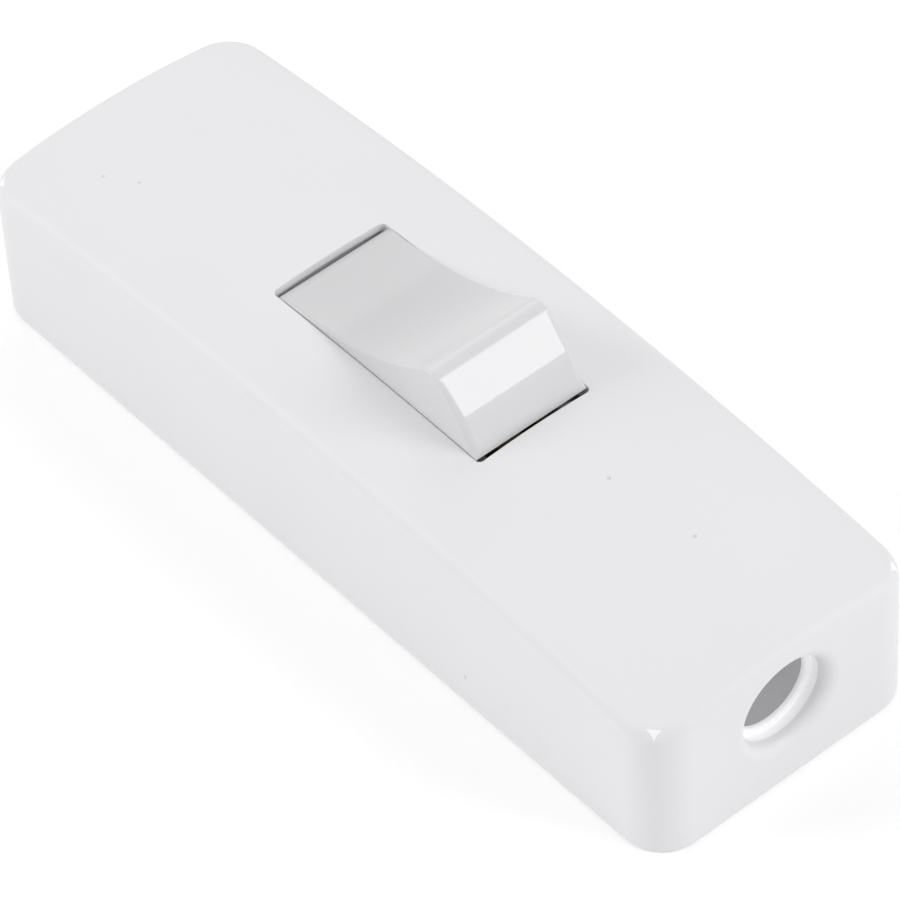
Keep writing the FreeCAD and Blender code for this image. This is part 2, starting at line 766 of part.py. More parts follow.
def save(name, shape):
    """Write one named piece as a STEP file."""
    shape.exportStep("parts/" + name + ".step")


def save_pair(name, shape):
    """Write a right-hand piece and its left-hand twin."""
    save(name + "_right", shape)
    save(name + "_left", mirrored(shape))


os.makedirs("parts", exist_ok=True)
save("cover", cover())
save("base", base())
save("rocker", rocker())
save_pair("plunger", plunger())
save_pair("plunger_spring", plunger_spring())
save_pair("seesaw", seesaw())
save_pair("moving_contact", moving_contact())
save_pair("fixed_contact", fixed_contact())
save_pair("common_terminal", common_terminal())
save_pair("switched_terminal", switched_terminal())
save("near_cord_clamp", cord_clamp(1))
save("far_cord_clamp", cord_clamp(-1))
save("housing_screws", Part.makeCompound(housing_screws()))
save("clamp_screws", Part.makeCompound(clamp_screws()))
save("terminal_screws", Part.makeCompound(terminal_screws()))
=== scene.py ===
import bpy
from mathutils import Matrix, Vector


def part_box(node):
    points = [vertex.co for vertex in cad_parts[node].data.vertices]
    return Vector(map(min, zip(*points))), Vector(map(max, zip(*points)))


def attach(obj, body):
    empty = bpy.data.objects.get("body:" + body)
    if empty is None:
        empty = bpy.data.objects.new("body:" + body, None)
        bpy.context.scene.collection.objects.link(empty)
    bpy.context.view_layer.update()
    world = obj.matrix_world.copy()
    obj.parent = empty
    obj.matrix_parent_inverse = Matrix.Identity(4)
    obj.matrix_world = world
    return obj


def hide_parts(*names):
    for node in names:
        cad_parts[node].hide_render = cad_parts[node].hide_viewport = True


bl_info = {
    "name": "Inline cord switch",
    "version": (1, 0, 0),
    "blender": (4, 5, 0),
    "location": "View3D > Sidebar > Cord switch",
    "description": "Builds the shells, fastenings, springs, finishes and studio of an inline cord switch",
    "category": "Add Mesh",
}

import bmesh
import bpy
import math
from bpy.props import FloatProperty, FloatVectorProperty, IntProperty, PointerProperty
from mathutils import Matrix, Vector

# The packed model, in metres: +X runs along the cord to the near end, +Z is up.
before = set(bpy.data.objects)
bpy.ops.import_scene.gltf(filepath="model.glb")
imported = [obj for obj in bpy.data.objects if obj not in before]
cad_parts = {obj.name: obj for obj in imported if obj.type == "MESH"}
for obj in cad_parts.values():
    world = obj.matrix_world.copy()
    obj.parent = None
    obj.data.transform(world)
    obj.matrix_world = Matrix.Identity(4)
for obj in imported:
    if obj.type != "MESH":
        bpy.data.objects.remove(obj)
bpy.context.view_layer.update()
COVER_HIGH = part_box("cover")[1]
MM = 0.001

# How finely the moulded skins are divided
CORNER_STEPS = 12
LONG_STEPS = 56
SHORT_STEPS = 20
RIM_STEPS = 10
EDGE_STEPS = 4
TOP_STEPS = 16
CEILING_STEPS = 6
LATHE_STEPS = 72
ARC_STEPS = 10
SCOOP_STEPS = 40

# Steepest angle between faces that are shaded as one, and how near points are merged
SMOOTH_ANGLE = math.radians(35)
MERGE_DISTANCE = 0.001 * MM

# Where the rounding of a cord entry's mouth stops, just short of level with the end of the housing
MOUTH_END = math.radians(96)

# Narrow bore up the middle of a turned post, as a share of its screw hole
POST_BORE = 1 / 9

# Share of the scoop that the roof of the rocker's hollow runs along
SCOOP_SHARE = 0.9

# Length of the cutter of a driver slot, in head radii, and sides of the thread's section
SLOT_CUTTER = 3.0
THREAD_SIDES = 4

# Places of the dust specks on the housing and their radii, in millimetres
DUST_SPECKS = (((19.7, 0.65, 16.0), 0.2), ((27.9, 1.8, 15.4), 0.2), ((-32.2, -6.4, 14.75), 0.15),
               ((-29.4, -5.0, 15.1), 0.15), ((18.4, -13.0, 3.1), 0.2), ((40.0, -2.5, 6.4), 0.22))

# Middle of the shade painted darker on the rocker's scoop, how far it reaches, and how dark it is
SCOOP_SHADE_PLACE = (-11.7, 0.0, 16.4)
SCOOP_SHADE_CORE = 3.0
SCOOP_SHADE_REACH = 19.0
SCOOP_SHADE_VALUE = 0.83

# Strength of the glow painted on the inner sides of the housing's end chambers, standing in for light that
# comes through their walls
PAINTED_GLOW_STRENGTH = 0.16

# Lowest and highest roughness of the plastics
PLASTIC_ROUGHNESS = {"cover_plastic": (0.44, 0.6), "rocker_plastic": (0.14, 0.26),
                     "base_plastic": (0.45, 0.62), "inner_plastic": (0.40, 0.60)}
PLASTIC_IOR = 1.6

# Shade of the tarnish on the metals, with their lowest and highest roughness
METAL_LOOKS = {"brass_strip": (0.7, 0.22, 0.45), "contact_metal": (0.8, 0.18, 0.35),
               "screw_steel": (0.75, 0.25, 0.45), "spring_steel": (0.8, 0.2, 0.4)}

# Depth in millimetres and strength of the fine relief of plastic and metal
PLASTIC_RELIEF = (0.004, 0.6)
METAL_RELIEF = (0.003, 0.5)

# Fineness of the patterns in the finishes, in turns per metre, and their detail
PATTERNS = {"cloud": (70.0, 2.0), "grain": (5200.0, 2.0), "ripple": (420.0, 1.0), "ragged": (9000.0, 1.0),
            "drawn": (9000.0, 2.0), "patches": (700.0, 3.0)}

# Plastic: its shades, the shares of cloud and grain in its gloss, and of ripple beside grain in its relief
CLOUD_SHADES = (0.975, 1.02)
CLOUD_SHARE = 0.6
GRAIN_SHARE = 0.4
RIPPLE_SHARE = 1.5

# Dust: how far a speck's edge strays, in radii, and how sharp it is
SPECK_STRAY = (0.5, 1.5)
SPECK_SHARPNESS = 3.0

# Metal: the stretch of its drawn lines, and the tarnish from its faintest to its strongest patches
DRAWN_STRETCH = (0.12, 1.0, 1.0)
TARNISH_RANGE = (-0.3, 0.9)

# Grey and roughness of the floor, the light added where it is seen, and how far the camera sees, in metres
FLOOR_GREY = 0.95
FLOOR_ROUGHNESS = 0.9
FLOOR_LIFT = 0.2
CAMERA_REACH = 10.0

# Azimuth and elevation of the soft lights, in degrees
LIGHT_DIRECTIONS = {"left": (-40, 30), "right": (125, 35), "back": (232, 40)}


# Settings

def length(label, text, millimetres):
    """Return a length setting, given in millimetres."""
    return FloatProperty(name=label, description=text, default=millimetres * MM, min=0.0, unit="LENGTH")


def angle(label, text, degrees):
    """Return an angle setting, given in degrees."""
    return FloatProperty(name=label, description=text, default=math.radians(degrees), subtype="ANGLE")


def amount(label, text, value):
    """Return a plain number setting."""
    return FloatProperty(name=label, description=text, default=value, min=0.0)


def count(label, text, value):
    """Return a whole number setting."""
    return IntProperty(name=label, description=text, default=value, min=1)


def colour(label, text, rgb):
    """Return a colour setting."""
    return FloatVectorProperty(name=label, description=text, default=rgb, size=3, min=0.0, max=1.0,
                               subtype="COLOR")


def group(label, kind):
    """Return a group of settings, described as its class is."""
    return PointerProperty(name=label, description=kind.__doc__, type=kind)


class CoverSizes(bpy.types.PropertyGroup):
    """Sizes of the upper housing shell."""
    crown_top: length("Crown top", "Height of the top's middle, where the window is cut", 16.6)
    end_drop: length("End drop", "Fall of the top from its middle to its ends", 2.4)
    side_drop: length("Side drop", "Fall of the top from its middle to its long sides", 1.2)
    corner_radius: length("Corner radius", "Rounding of the upright corners", 3.6)
    rim_radius: length("Rim radius", "Rounding between the top and the walls", 1.4)
    foot_radius: length("Foot radius", "Rounding at the foot of the walls", 0.3)
    side_wall: length("Side wall", "Thickness of the long walls", 2.0)
    end_wall: length("End wall", "Thickness of the end walls", 2.5)
    roof_wall: length("Roof", "Thickness of the top", 1.8)
    inner_corner: length("Inner corner", "Rounding of the upright corners inside", 1.6)
    foot_rim: length("Foot rim", "Width of the rim that the base sits in", 1.0)
    base_seat: length("Base seat", "Height of the ledge on the base", 2.0)
    entry_radius: length("Entry radius", "Radius of the cord entries", 3.5)
    entry_mouth: length("Entry mouth", "Radius of the wider mouths of the cord entries", 4.0)
    entry_depth: length("Entry depth", "Depth of the ledge inside the mouths", 2.0)
    entry_flare: length("Entry flare", "Rounding of the outer edges of the mouths", 1.0)
    entry_lip: length("Entry lip", "Rounding of the inner edges of the ledges", 0.3)
    entry_height: length("Entry height", "Height of the middle of the cord entries", 8.1)
    window_length: length("Window length", "Opening for the rocker along the cord", 24.3)
    window_width: length("Window width", "Opening for the rocker across the cord", 11.1)
    window_corner: length("Window corner", "Rounding of the opening's upright corners", 0.45)
    window_edge: length("Window edge", "Rounding of the opening's upper edge", 0.05)
    window_lip: length("Window lip", "Depth of the narrowest part of the opening", 0.75)
    window_relief: length("Window relief", "Extra length of the opening under its lip", 0.35)
    lug_half_length: length("Lug half length", "Half the length of the bearing lugs", 2.8)
    lug_thickness: length("Lug thickness", "Thickness of the bearing lugs", 2.0)
    lug_inset: length("Lug inset", "Distance of the lugs from the opening's sides", 0.05)
    lug_wall: length("Lug wall", "Wall below the bearing", 0.75)
    bearing_radius: length("Bearing radius", "Radius of the bearings for the rocker", 1.15)
    snap_neck: length("Snap neck", "Width of the slot below the bearings", 1.8)
    boss_radius: length("Boss radius", "Radius of the screw posts", 2.7)
    boss_foot: length("Boss foot", "Height of the lower ends of the screw posts", 4.0)
    pilot_radius: length("Pilot radius", "Radius of the holes for the housing screws", 1.33)
    pilot_top: length("Pilot top", "Height that the screw holes reach", 10.5)


class RockerSizes(bpy.types.PropertyGroup):
    """Sizes of the rocker, in its own upright frame."""
    pivot_height: length("Pivot height", "Height of the rocker's axis", 11.6)
    tilt: angle("Tilt", "Lean of the rocker in the off position", 17.5)
    radius: length("Radius", "Distance of the end faces from the axis", 12.516)
    half_width: length("Half width", "Half the rocker's width", 5.49)
    crest_reach: length("Crest reach", "Distance of the crests from the middle", 9.766)
    crest_height: length("Crest height", "Height of the crests over the axis", 8.1)
    scoop_depth: length("Scoop depth", "Depth of the finger scoop below the crests", 1.65)
    nose_angle: angle("Nose angle", "Place of the nose corner, from upright", 70.8)
    skirt_angle: angle("Skirt angle", "Place of the lower edge of the end faces, from upright", 86.6)
    crest_rounding: length("Crest rounding", "Rounding of the crests", 1.53)
    nose_rounding: length("Nose rounding", "Rounding of the nose corners", 1.0)
    edge_rounding: length("Edge rounding", "Rounding of the side edges of the scoop and the noses", 0.2)
    end_rounding: length("End rounding", "Rounding of the upright edges of the end faces", 0.6)
    top_wall: length("Top wall", "Thickness under the scoop", 1.5)
    end_wall: length("End wall", "Thickness of the end faces", 1.3)
    side_wall: length("Side wall", "Thickness of the cheeks", 1.1)
    cheek_half_length: length("Cheek half length", "Half the length of the cheeks' lower edge", 4.0)
    cheek_drop: length("Cheek drop", "Depth of the cheeks below the axis", 1.7)
    trunnion_radius: length("Trunnion radius", "Radius of the stub axles", 1.1)
    trunnion_reach: length("Trunnion reach", "Distance of the stub axles' ends from the middle", 7.3)
    tube_spacing: length("Tube spacing", "Distance of the plunger tubes from the middle", 2.65)
    tube_radius: length("Tube radius", "Outer radius of the plunger tubes", 2.0)
    tube_bore: length("Tube bore", "Inner radius of the plunger tubes", 1.3)
    tube_drop: length("Tube drop", "Depth of the plunger tubes' open ends below the axis", 0.896)
    web_half: length("Web half", "Half the thickness of the stiffening web", 0.5)
    web_bottom: length("Web bottom", "Height of the web's lower edge over the axis", 1.0)


class FasteningSizes(bpy.types.PropertyGroup):
    """Sizes of the three kinds of screw."""
    slot_width: length("Slot width", "Width of the driver slots", 0.7)
    slot_depth: length("Slot depth", "Depth of the driver slots", 0.6)
    head_crown: length("Head crown", "Height of the sloping part of a head", 0.35)
    thread_pitch: length("Thread pitch", "Rise of the threads in one turn", 0.7)
    thread_depth: length("Thread depth", "Height of the threads over the core", 0.2)
    clamp_head_radius: length("Clamp screw head", "Head radius of the cord clamp screws", 1.9)
    clamp_head_height: length("Clamp head height", "Head height of the cord clamp screws", 1.4)
    clamp_shank_radius: length("Clamp screw shank", "Thread radius of the cord clamp screws", 0.9)
    terminal_head_radius: length("Terminal screw head", "Head radius of the terminal screws", 1.85)
    terminal_head_height: length("Terminal head height", "Head height of the terminal screws", 1.5)
    terminal_shank_radius: length("Terminal screw shank", "Thread radius of the terminal screws", 1.2)
    housing_head_height: length("Housing head height", "Head height of the housing screws", 1.7)
    housing_shank_radius: length("Housing screw shank", "Thread radius of the housing screws", 1.3)


class SpringSizes(bpy.types.PropertyGroup):
    """Sizes of the plunger springs."""
    coil_radius: length("Coil radius", "Radius of the coil at the middle of the wire", 0.98)
    wire_radius: length("Wire radius", "Radius of the spring wire", 0.17)
    turns: count("Turns", "Turns of wire in one spring", 5)
    low: length("Low end", "Height of the coil's lower end over the rocker's axis", 1.295)
    high: length("High end", "Height of the coil's upper end over the rocker's axis", 4.76)


class FinishColours(bpy.types.PropertyGroup):
    """Colours of the finishes, by their slots, and of the dust."""
    cover_plastic: colour("Cover", "White plastic of the housing", (0.86, 0.86, 0.875))
    rocker_plastic: colour("Rocker", "White plastic of the rocker", (0.755, 0.755, 0.77))
    base_plastic: colour("Base", "White plastic of the base", (0.86, 0.86, 0.87))
    inner_plastic: colour("Inner plastic", "Natural nylon of the plungers and clamps", (0.82, 0.80, 0.75))
    brass_strip: colour("Brass", "Rolled brass of the terminals", (0.78, 0.57, 0.27))
    contact_metal: colour("Contact metal", "Silver alloy of the contacts", (0.82, 0.81, 0.78))
    screw_steel: colour("Steel", "Zinc-plated steel of the screws", (0.62, 0.63, 0.64))
    spring_steel: colour("Spring steel", "Drawn wire of the springs", (0.50, 0.51, 0.52))
    dust: colour("Dust", "Specks of dust on the housing", (0.66, 0.65, 0.64))


class StudioSettings(bpy.types.PropertyGroup):
    """Camera, lights and floor."""
    azimuth: angle("Azimuth", "Direction that the camera looks from", 52.4)
    elevation: angle("Elevation", "Height of the camera over the horizon", 47.05)
    roll: angle("Roll", "Turn of the camera about its line of sight", 3.87)
    distance: length("Distance", "Distance of the camera from what it looks at", 459.0)
    lens: amount("Lens", "Focal length in millimetres on a 36 mm sensor", 240.8)
    target: FloatVectorProperty(name="Target", description="Point that the camera looks at",
                                default=(3.6 * MM, -1.6 * MM, 8.0 * MM), size=3, subtype="TRANSLATION")
    floor_size: length("Floor size", "Width of the floor", 3000.0)
    floor_drop: length("Floor drop", "Hair gap between the floor and the foot of the switch", 0.02)
    floor_rim: length("Floor rim", "How far the floor reaches under the edge of the switch", 0.5)
    light_size: length("Light size", "Width of the soft lights", 600.0)
    light_distance: length("Light distance", "Distance of the soft lights from the switch", 1300.0)
    ambient: amount("Ambient", "Strength of the even light from all round", 0.62)
    left: amount("Left", "Power of the soft light at the left of the picture, in watts", 4.4)
    right: amount("Right", "Power of the soft light at the right of the picture, in watts", 4.6)
    back: amount("Back", "Power of the soft light behind the switch, in watts", 1.0)


class SwitchSettings(bpy.types.PropertyGroup):
    """All settings of the switch."""
    cover: group("Cover", CoverSizes)
    rocker: group("Rocker", RockerSizes)
    fastenings: group("Fastenings", FasteningSizes)
    springs: group("Springs", SpringSizes)
    colours: group("Colours", FinishColours)
    studio: group("Studio", StudioSettings)


def settings():
    """Return the switch's settings."""
    return bpy.context.scene.cord_switch


# Mesh helpers

def piece_from(mesh_data, name):
    """Turn a finished edit mesh into a linked object at the origin."""
    bmesh.ops.recalc_face_normals(mesh_data, faces=mesh_data.faces)
    mesh = bpy.data.meshes.new(name)
    mesh_data.to_mesh(mesh)
    mesh_data.free()
    piece = bpy.data.objects.new(name, mesh)
    bpy.context.scene.collection.objects.link(piece)
    return piece


def bake(piece):
    """Replace an object's mesh by what its modifiers make of it."""
    bpy.context.view_layer.update()
    graph = bpy.context.evaluated_depsgraph_get()
    mesh = bpy.data.meshes.new_from_object(piece.evaluated_get(graph), preserve_all_data_layers=True,
                                           depsgraph=graph)
    plain = piece.data
    piece.modifiers.clear()
    piece.data = mesh
    bpy.data.meshes.remove(plain)
    mesh.name = piece.name


def carve(piece, tool, operation):
    """Cut a tool from a piece, or join it on, and delete the tool."""
    modifier = piece.modifiers.new(operation.lower(), "BOOLEAN")
    modifier.operation = operation
    modifier.solver = "MANIFOLD"
    modifier.object = tool
    bake(piece)
    mesh = tool.data
    bpy.data.objects.remove(tool)
    bpy.data.meshes.remove(mesh)
    if not piece.data.polygons:
        raise RuntimeError(f"nothing was left of {piece.name}")


def finish_skin(piece, material):
    """Merge a piece's doubles, shade it smooth up to its sharp edges and give it its material."""
    mesh_data = bmesh.new()
    mesh_data.from_mesh(piece.data)
    bmesh.ops.remove_doubles(mesh_data, verts=mesh_data.verts, dist=MERGE_DISTANCE)
    bmesh.ops.dissolve_degenerate(mesh_data, edges=mesh_data.edges, dist=MERGE_DISTANCE)
    mesh_data.to_mesh(piece.data)
    mesh_data.free()
    piece.data.shade_smooth()
    piece.data.set_sharp_from_angle(angle=SMOOTH_ANGLE)
    modifier = piece.modifiers.new("weighted normals", "WEIGHTED_NORMAL")
    modifier.keep_sharp = True
    bake(piece)
    piece.data.materials.clear()
    piece.data.materials.append(material)


def add_skin(mesh_data, loops, closed):
    """Add faces from each loop of points to the next, and to the first if closed, and return the rings."""
    rings = [[mesh_data.verts.new(point) for point in loop] for loop in loops]
    following = rings[1:] + rings[:1] if closed else rings[1:]
    for lower, upper in zip(rings, following):
        for here in range(len(lower)):
            there = (here + 1) % len(lower)
            mesh_data.faces.new((lower[here], lower[there], upper[there], upper[here]))
    return rings


def add_lathe(mesh_data, profile, place, closed):
    """Add a turned form from (radius, height) points, placed by a matrix, with its ends capped if open."""
    turns = [2 * math.pi * step / LATHE_STEPS for step in range(LATHE_STEPS)]
    loops = [[place @ Vector((radius * math.cos(turn), radius * math.sin(turn), height)) for turn in turns]
             for radius, height in profile]
    rings = add_skin(mesh_data, loops, closed)
    if not closed:
        mesh_data.faces.new(rings[0][::-1])
        mesh_data.faces.new(rings[-1])


def add_prism(mesh_data, stations, place):
    """Add a form lofted along Y through (y, outline of (x, z) points) stations, with its ends capped."""
    loops = [[place @ Vector((x, y, z)) for x, z in outline] for y, outline in stations]
    rings = add_skin(mesh_data, loops, False)
    mesh_data.faces.new(rings[0][::-1])
    mesh_data.faces.new(rings[-1])


def arc(centre_x, centre_z, radius, start, end, steps):
    """Return points of an arc, with angles from the +X axis towards +Z."""
    points = []
    for step in range(steps + 1):
        turn = start + (end - start) * step / steps
        points.append((centre_x + radius * math.cos(turn), centre_z + radius * math.sin(turn)))
    return points


def rounded_corner(before, corner, after, radius):
    """Return the arc that rounds a corner between two straight runs."""
    before, corner, after = Vector(before), Vector(corner), Vector(after)
    back = (before - corner).normalized()
    ahead = (after - corner).normalized()
    half = back.angle(ahead) / 2
    centre = corner + (back + ahead).normalized() * (radius / math.sin(half))
    trim = radius / math.tan(half)
    first = corner + back * trim - centre
    last = corner + ahead * trim - centre
    start = math.atan2(first.y, first.x)
    sweep = first.angle_signed(last)
    return arc(centre.x, centre.y, radius, start, start - sweep, ARC_STEPS)


# Cover

def plan_loop(half_x, half_y, radius):
    """Return matched points round a round-cornered rectangle, each with its outward direction."""
    loop = []
    for quarter in range(4):
        start = quarter * math.pi / 2
        centre_x = (half_x - radius) * (1 if quarter in (0, 3) else -1)
        centre_y = (half_y - radius) * (1 if quarter in (0, 1) else -1)
        for step in range(CORNER_STEPS + 1):
            turn = start + step * math.pi / 2 / CORNER_STEPS
            out = Vector((math.cos(turn), math.sin(turn)))
            loop.append((Vector((centre_x, centre_y)) + out * radius, out))
        here = loop[-1][0]
        along_x = quarter in (0, 2)
        there = Vector((-here.x, here.y)) if along_x else Vector((here.x, -here.y))
        steps = LONG_STEPS if along_x else SHORT_STEPS
        loop += [(here.lerp(there, step / steps), out) for step in range(1, steps)]
    return loop


def crown_height(sizes, place, depth=0.0):
    """Return the height of the doubly curved top over a plan point, or of a skin a depth below it."""
    half_x, half_y = COVER_HIGH.x, COVER_HIGH.y
    along = (half_x ** 2 + sizes.end_drop ** 2) / (2 * sizes.end_drop)
    across = (half_y ** 2 + sizes.side_drop ** 2) / (2 * sizes.side_drop)
    ring = along - across + math.sqrt((across - depth) ** 2 - place.y ** 2)
    return sizes.crown_top - along + math.sqrt(ring ** 2 - place.x ** 2)


def rim_point(sizes, place, out, share):
    """Return a point of the rounding between a wall and the top, at a share of the way up."""
    centre = place - out * sizes.rim_radius
    height = crown_height(sizes, centre, sizes.rim_radius)
    slope = (crown_height(sizes, centre) - crown_height(sizes, place)) / sizes.rim_radius
    turn = share * (math.pi / 2 - math.atan(slope))
    reach = centre + out * (sizes.rim_radius * math.cos(turn))
    return Vector((*reach, height + sizes.rim_radius * math.sin(turn)))


def plan_points(half_x, half_y, radius):
    """Return the points of a round-cornered rectangle without their directions."""
    return [place for place, out in plan_loop(half_x, half_y, radius)]


def window_plan(sizes, offset=0.0, relief=0.0):
    """Return the plan of the opening for the rocker, grown by an offset, and longer by a relief."""
    return plan_points(sizes.window_length / 2 + offset + relief, sizes.window_width / 2 + offset,
                       sizes.window_corner + offset)


def level(plan, height):
    """Return a plan's points at one height."""
    return [Vector((*place, height)) for place in plan]


def on_crown(sizes, plan, depth=0.0, fall=0.0):
    """Return a plan's points on the top, or on a skin a depth below it, lowered by a fall."""
    return [Vector((*place, crown_height(sizes, place, depth) - fall)) for place in plan]


def between(sizes, outer, inner, steps, depth):
    """Return loops on a skin below the top, from one plan to another, without the first."""
    plans = [[a.lerp(b, step / steps) for a, b in zip(outer, inner)] for step in range(1, steps + 1)]
    return [on_crown(sizes, plan, depth) for plan in plans]


def cover_loops(sizes):
    """Return closed loops from the foot of the walls, over the top and back down inside."""
    half_x, half_y = COVER_HIGH.x, COVER_HIGH.y
    outer = plan_loop(half_x, half_y, sizes.corner_radius)
    loops = []
    for step in range(EDGE_STEPS + 1):
        turn = step * math.pi / 2 / EDGE_STEPS
        inset = sizes.foot_radius * (1 - math.sin(turn))
        rise = sizes.foot_radius * (1 - math.cos(turn))
        loops.append([Vector((*(place - out * inset), rise)) for place, out in outer])
    for step in range(RIM_STEPS + 1):
        loops.append([rim_point(sizes, place, out, step / RIM_STEPS) for place, out in outer])
    rim = [point.xy for point in loops[-1]]
    loops += between(sizes, rim, window_plan(sizes, sizes.window_edge), TOP_STEPS, 0.0)
    for step in range(1, EDGE_STEPS + 1):
        turn = step * math.pi / 2 / EDGE_STEPS
        plan = window_plan(sizes, sizes.window_edge * (1 - math.sin(turn)))
        loops.append(on_crown(sizes, plan, fall=sizes.window_edge * (1 - math.cos(turn))))
    relieved = window_plan(sizes, relief=sizes.window_relief)
    loops.append(on_crown(sizes, window_plan(sizes), fall=sizes.window_lip))
    loops.append(on_crown(sizes, relieved, fall=sizes.window_lip))
    loops.append(on_crown(sizes, relieved, sizes.roof_wall))
    inner = plan_points(half_x - sizes.end_wall, half_y - sizes.side_wall, sizes.inner_corner)
    loops += between(sizes, relieved, inner, CEILING_STEPS, sizes.roof_wall)
    seat = plan_points(half_x - sizes.foot_rim, half_y - sizes.foot_rim,
                       sizes.corner_radius - sizes.foot_rim)
    return loops + [level(inner, sizes.base_seat), level(seat, sizes.base_seat), level(seat, 0.0)]


def entry_tool(sizes):
    """Return the tool that cuts both stepped cord entries."""
    mesh_data = bmesh.new()
    ledge = COVER_HIGH.x - sizes.entry_depth
    lip = arc(sizes.entry_radius + sizes.entry_lip, ledge - sizes.entry_lip, sizes.entry_lip,
              math.pi, math.pi / 2, ARC_STEPS)
    mouth = arc(sizes.entry_mouth + sizes.entry_flare, COVER_HIGH.x - sizes.entry_flare, sizes.entry_flare,
                math.pi, MOUTH_END, ARC_STEPS)
    profile = [(sizes.entry_radius, ledge - 2 * sizes.end_wall)] + lip + [(sizes.entry_mouth, ledge)] + mouth
    profile.append((mouth[-1][0], COVER_HIGH.x + sizes.end_wall))
    for end in (1, -1):
        place = Matrix.Translation((0, 0, sizes.entry_height)) @ Matrix.Rotation(end * math.pi / 2, 4, "Y")
        add_lathe(mesh_data, profile, place, False)
    return piece_from(mesh_data, "entry_tool")


def inner_posts(sizes, pivot_height):
    """Return the bearing lugs and the screw posts that hang from the roof."""
    mesh_data = bmesh.new()
    sunk = sizes.roof_wall / 2
    screws_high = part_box("housing_screws")[1]
    screw_x = screws_high.x - screws_high.y
    roof = crown_height(sizes, Vector((screw_x, 0))) - sunk
    bore = sizes.pilot_radius * POST_BORE
    post = [(sizes.boss_radius, sizes.boss_foot), (sizes.boss_radius, roof), (bore, roof),
            (bore, sizes.pilot_top), (sizes.pilot_radius, sizes.pilot_top),
            (sizes.pilot_radius, sizes.boss_foot)]
    for end in (1, -1):
        add_lathe(mesh_data, post, Matrix.Translation((end * screw_x, 0, 0)), True)
    half_neck = sizes.snap_neck / 2
    neck_turn = math.asin(half_neck / sizes.bearing_radius)
    foot = pivot_height - sizes.bearing_radius - sizes.lug_wall
    head = crown_height(sizes, Vector((0, sizes.window_width / 2 + sizes.lug_thickness))) - sunk
    bearing = arc(0, pivot_height, sizes.bearing_radius, 1.5 * math.pi - neck_turn,
                  neck_turn - math.pi / 2, 2 * ARC_STEPS)
    outline = [(-sizes.lug_half_length, foot), (-half_neck, foot)] + bearing
    outline += [(half_neck, foot), (sizes.lug_half_length, foot), (sizes.lug_half_length, head),
                (-sizes.lug_half_length, head)]
    near = sizes.window_width / 2 + sizes.lug_inset
    far = sizes.window_width / 2 + sizes.lug_thickness
    add_prism(mesh_data, [(near, outline), (far, outline)], Matrix.Identity(4))
    add_prism(mesh_data, [(-far, outline), (-near, outline)], Matrix.Identity(4))
    return piece_from(mesh_data, "inner_posts")


def build_cover():
    """Build the housing shell with its window, entries, lugs and screw posts."""
    sizes = settings().cover
    mesh_data = bmesh.new()
    add_skin(mesh_data, cover_loops(sizes), True)
    shell = piece_from(mesh_data, "cover_shell")
    carve(shell, entry_tool(sizes), "DIFFERENCE")
    carve(shell, inner_posts(sizes, settings().rocker.pivot_height), "UNION")
    finish_skin(shell, cover_plastic())
    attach(shell, "housing")
    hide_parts("cover")


# Rocker

def on_end_face(sizes, turn):
    """Return a point of the rocker's near end face, at an angle from upright."""
    return sizes.radius * math.sin(turn), sizes.radius * math.cos(turn)


def mirrored(points):
    """Return a half outline followed backwards on the other side of the middle."""
    return [(-x, z) for x, z in reversed(points)]


def scoop_circle(sizes):
    """Return the radius of the finger scoop and the height of its middle over the axis."""
    radius = (sizes.crest_reach ** 2 + sizes.scoop_depth ** 2) / (2 * sizes.scoop_depth)
    return radius, sizes.crest_height - sizes.scoop_depth + radius


def rocker_outline(sizes):
    """Return the rocker's side outline, anticlockwise from the middle of its foot."""
    scoop_radius, scoop_centre = scoop_circle(sizes)
    crest = (sizes.crest_reach, sizes.crest_height)
    corner = on_end_face(sizes, sizes.nose_angle)
    hem = on_end_face(sizes, sizes.skirt_angle)
    below = on_end_face(sizes, sizes.nose_angle + 2 * sizes.nose_rounding / sizes.radius)
    nose = rounded_corner(below, corner, crest, sizes.nose_rounding)
    reach = math.asin((sizes.crest_reach - sizes.crest_rounding) / scoop_radius)
    scoop_end = (scoop_radius * math.sin(reach), scoop_centre - scoop_radius * math.cos(reach))
    ridge = rounded_corner(corner, crest, scoop_end, sizes.crest_rounding)
    start = math.pi / 2 - sizes.skirt_angle
    end = math.atan2(nose[0][1], nose[0][0])
    face = arc(0, 0, sizes.radius, start, end, ARC_STEPS)
    half = [(sizes.cheek_half_length, -sizes.cheek_drop), (sizes.radius - sizes.end_wall, hem[1])]
    half += face[:-1] + nose + ridge
    scoop = arc(0, scoop_centre, scoop_radius, reach - math.pi / 2, -reach - math.pi / 2, SCOOP_STEPS)
    return half + scoop[1:-1] + mirrored(half)


def inset(outline, depths):
    """Return an outline moved inwards by a depth at each of its points."""
    moved = []
    for before, here, after, depth in zip(outline[-1:] + outline[:-1], outline, outline[1:] + outline[:1],
                                          depths):
        run_in = (Vector(here) - Vector(before)).normalized()
        run_out = (Vector(after) - Vector(here)).normalized()
        along = (run_in + run_out).normalized()
        moved.append((here[0] - along.y * depth, here[1] + along.x * depth))
    return moved


def side_rounding(sizes, point):
    """Return the rounding of the side edge at a point of the rocker's outline, with none at its foot."""
    corner = on_end_face(sizes, sizes.nose_angle)
    hem = on_end_face(sizes, sizes.skirt_angle)
    share = (sizes.crest_height - point[1]) / (sizes.crest_height - corner[1])
    share = min(max(share, 0.0), 1.0) if abs(point[0]) > sizes.crest_reach else 0.0
    rounding = sizes.edge_rounding + (sizes.end_rounding - sizes.edge_rounding) * share ** 2
    return min(rounding, max(point[1] - hem[1], 0.0))


def edge_fall(radius, distance):
    """Return how far a rounded edge has fallen away, at a distance in from the side."""
    if distance >= radius:
        return 0.0
    return radius - math.sqrt(radius ** 2 - (radius - distance) ** 2)


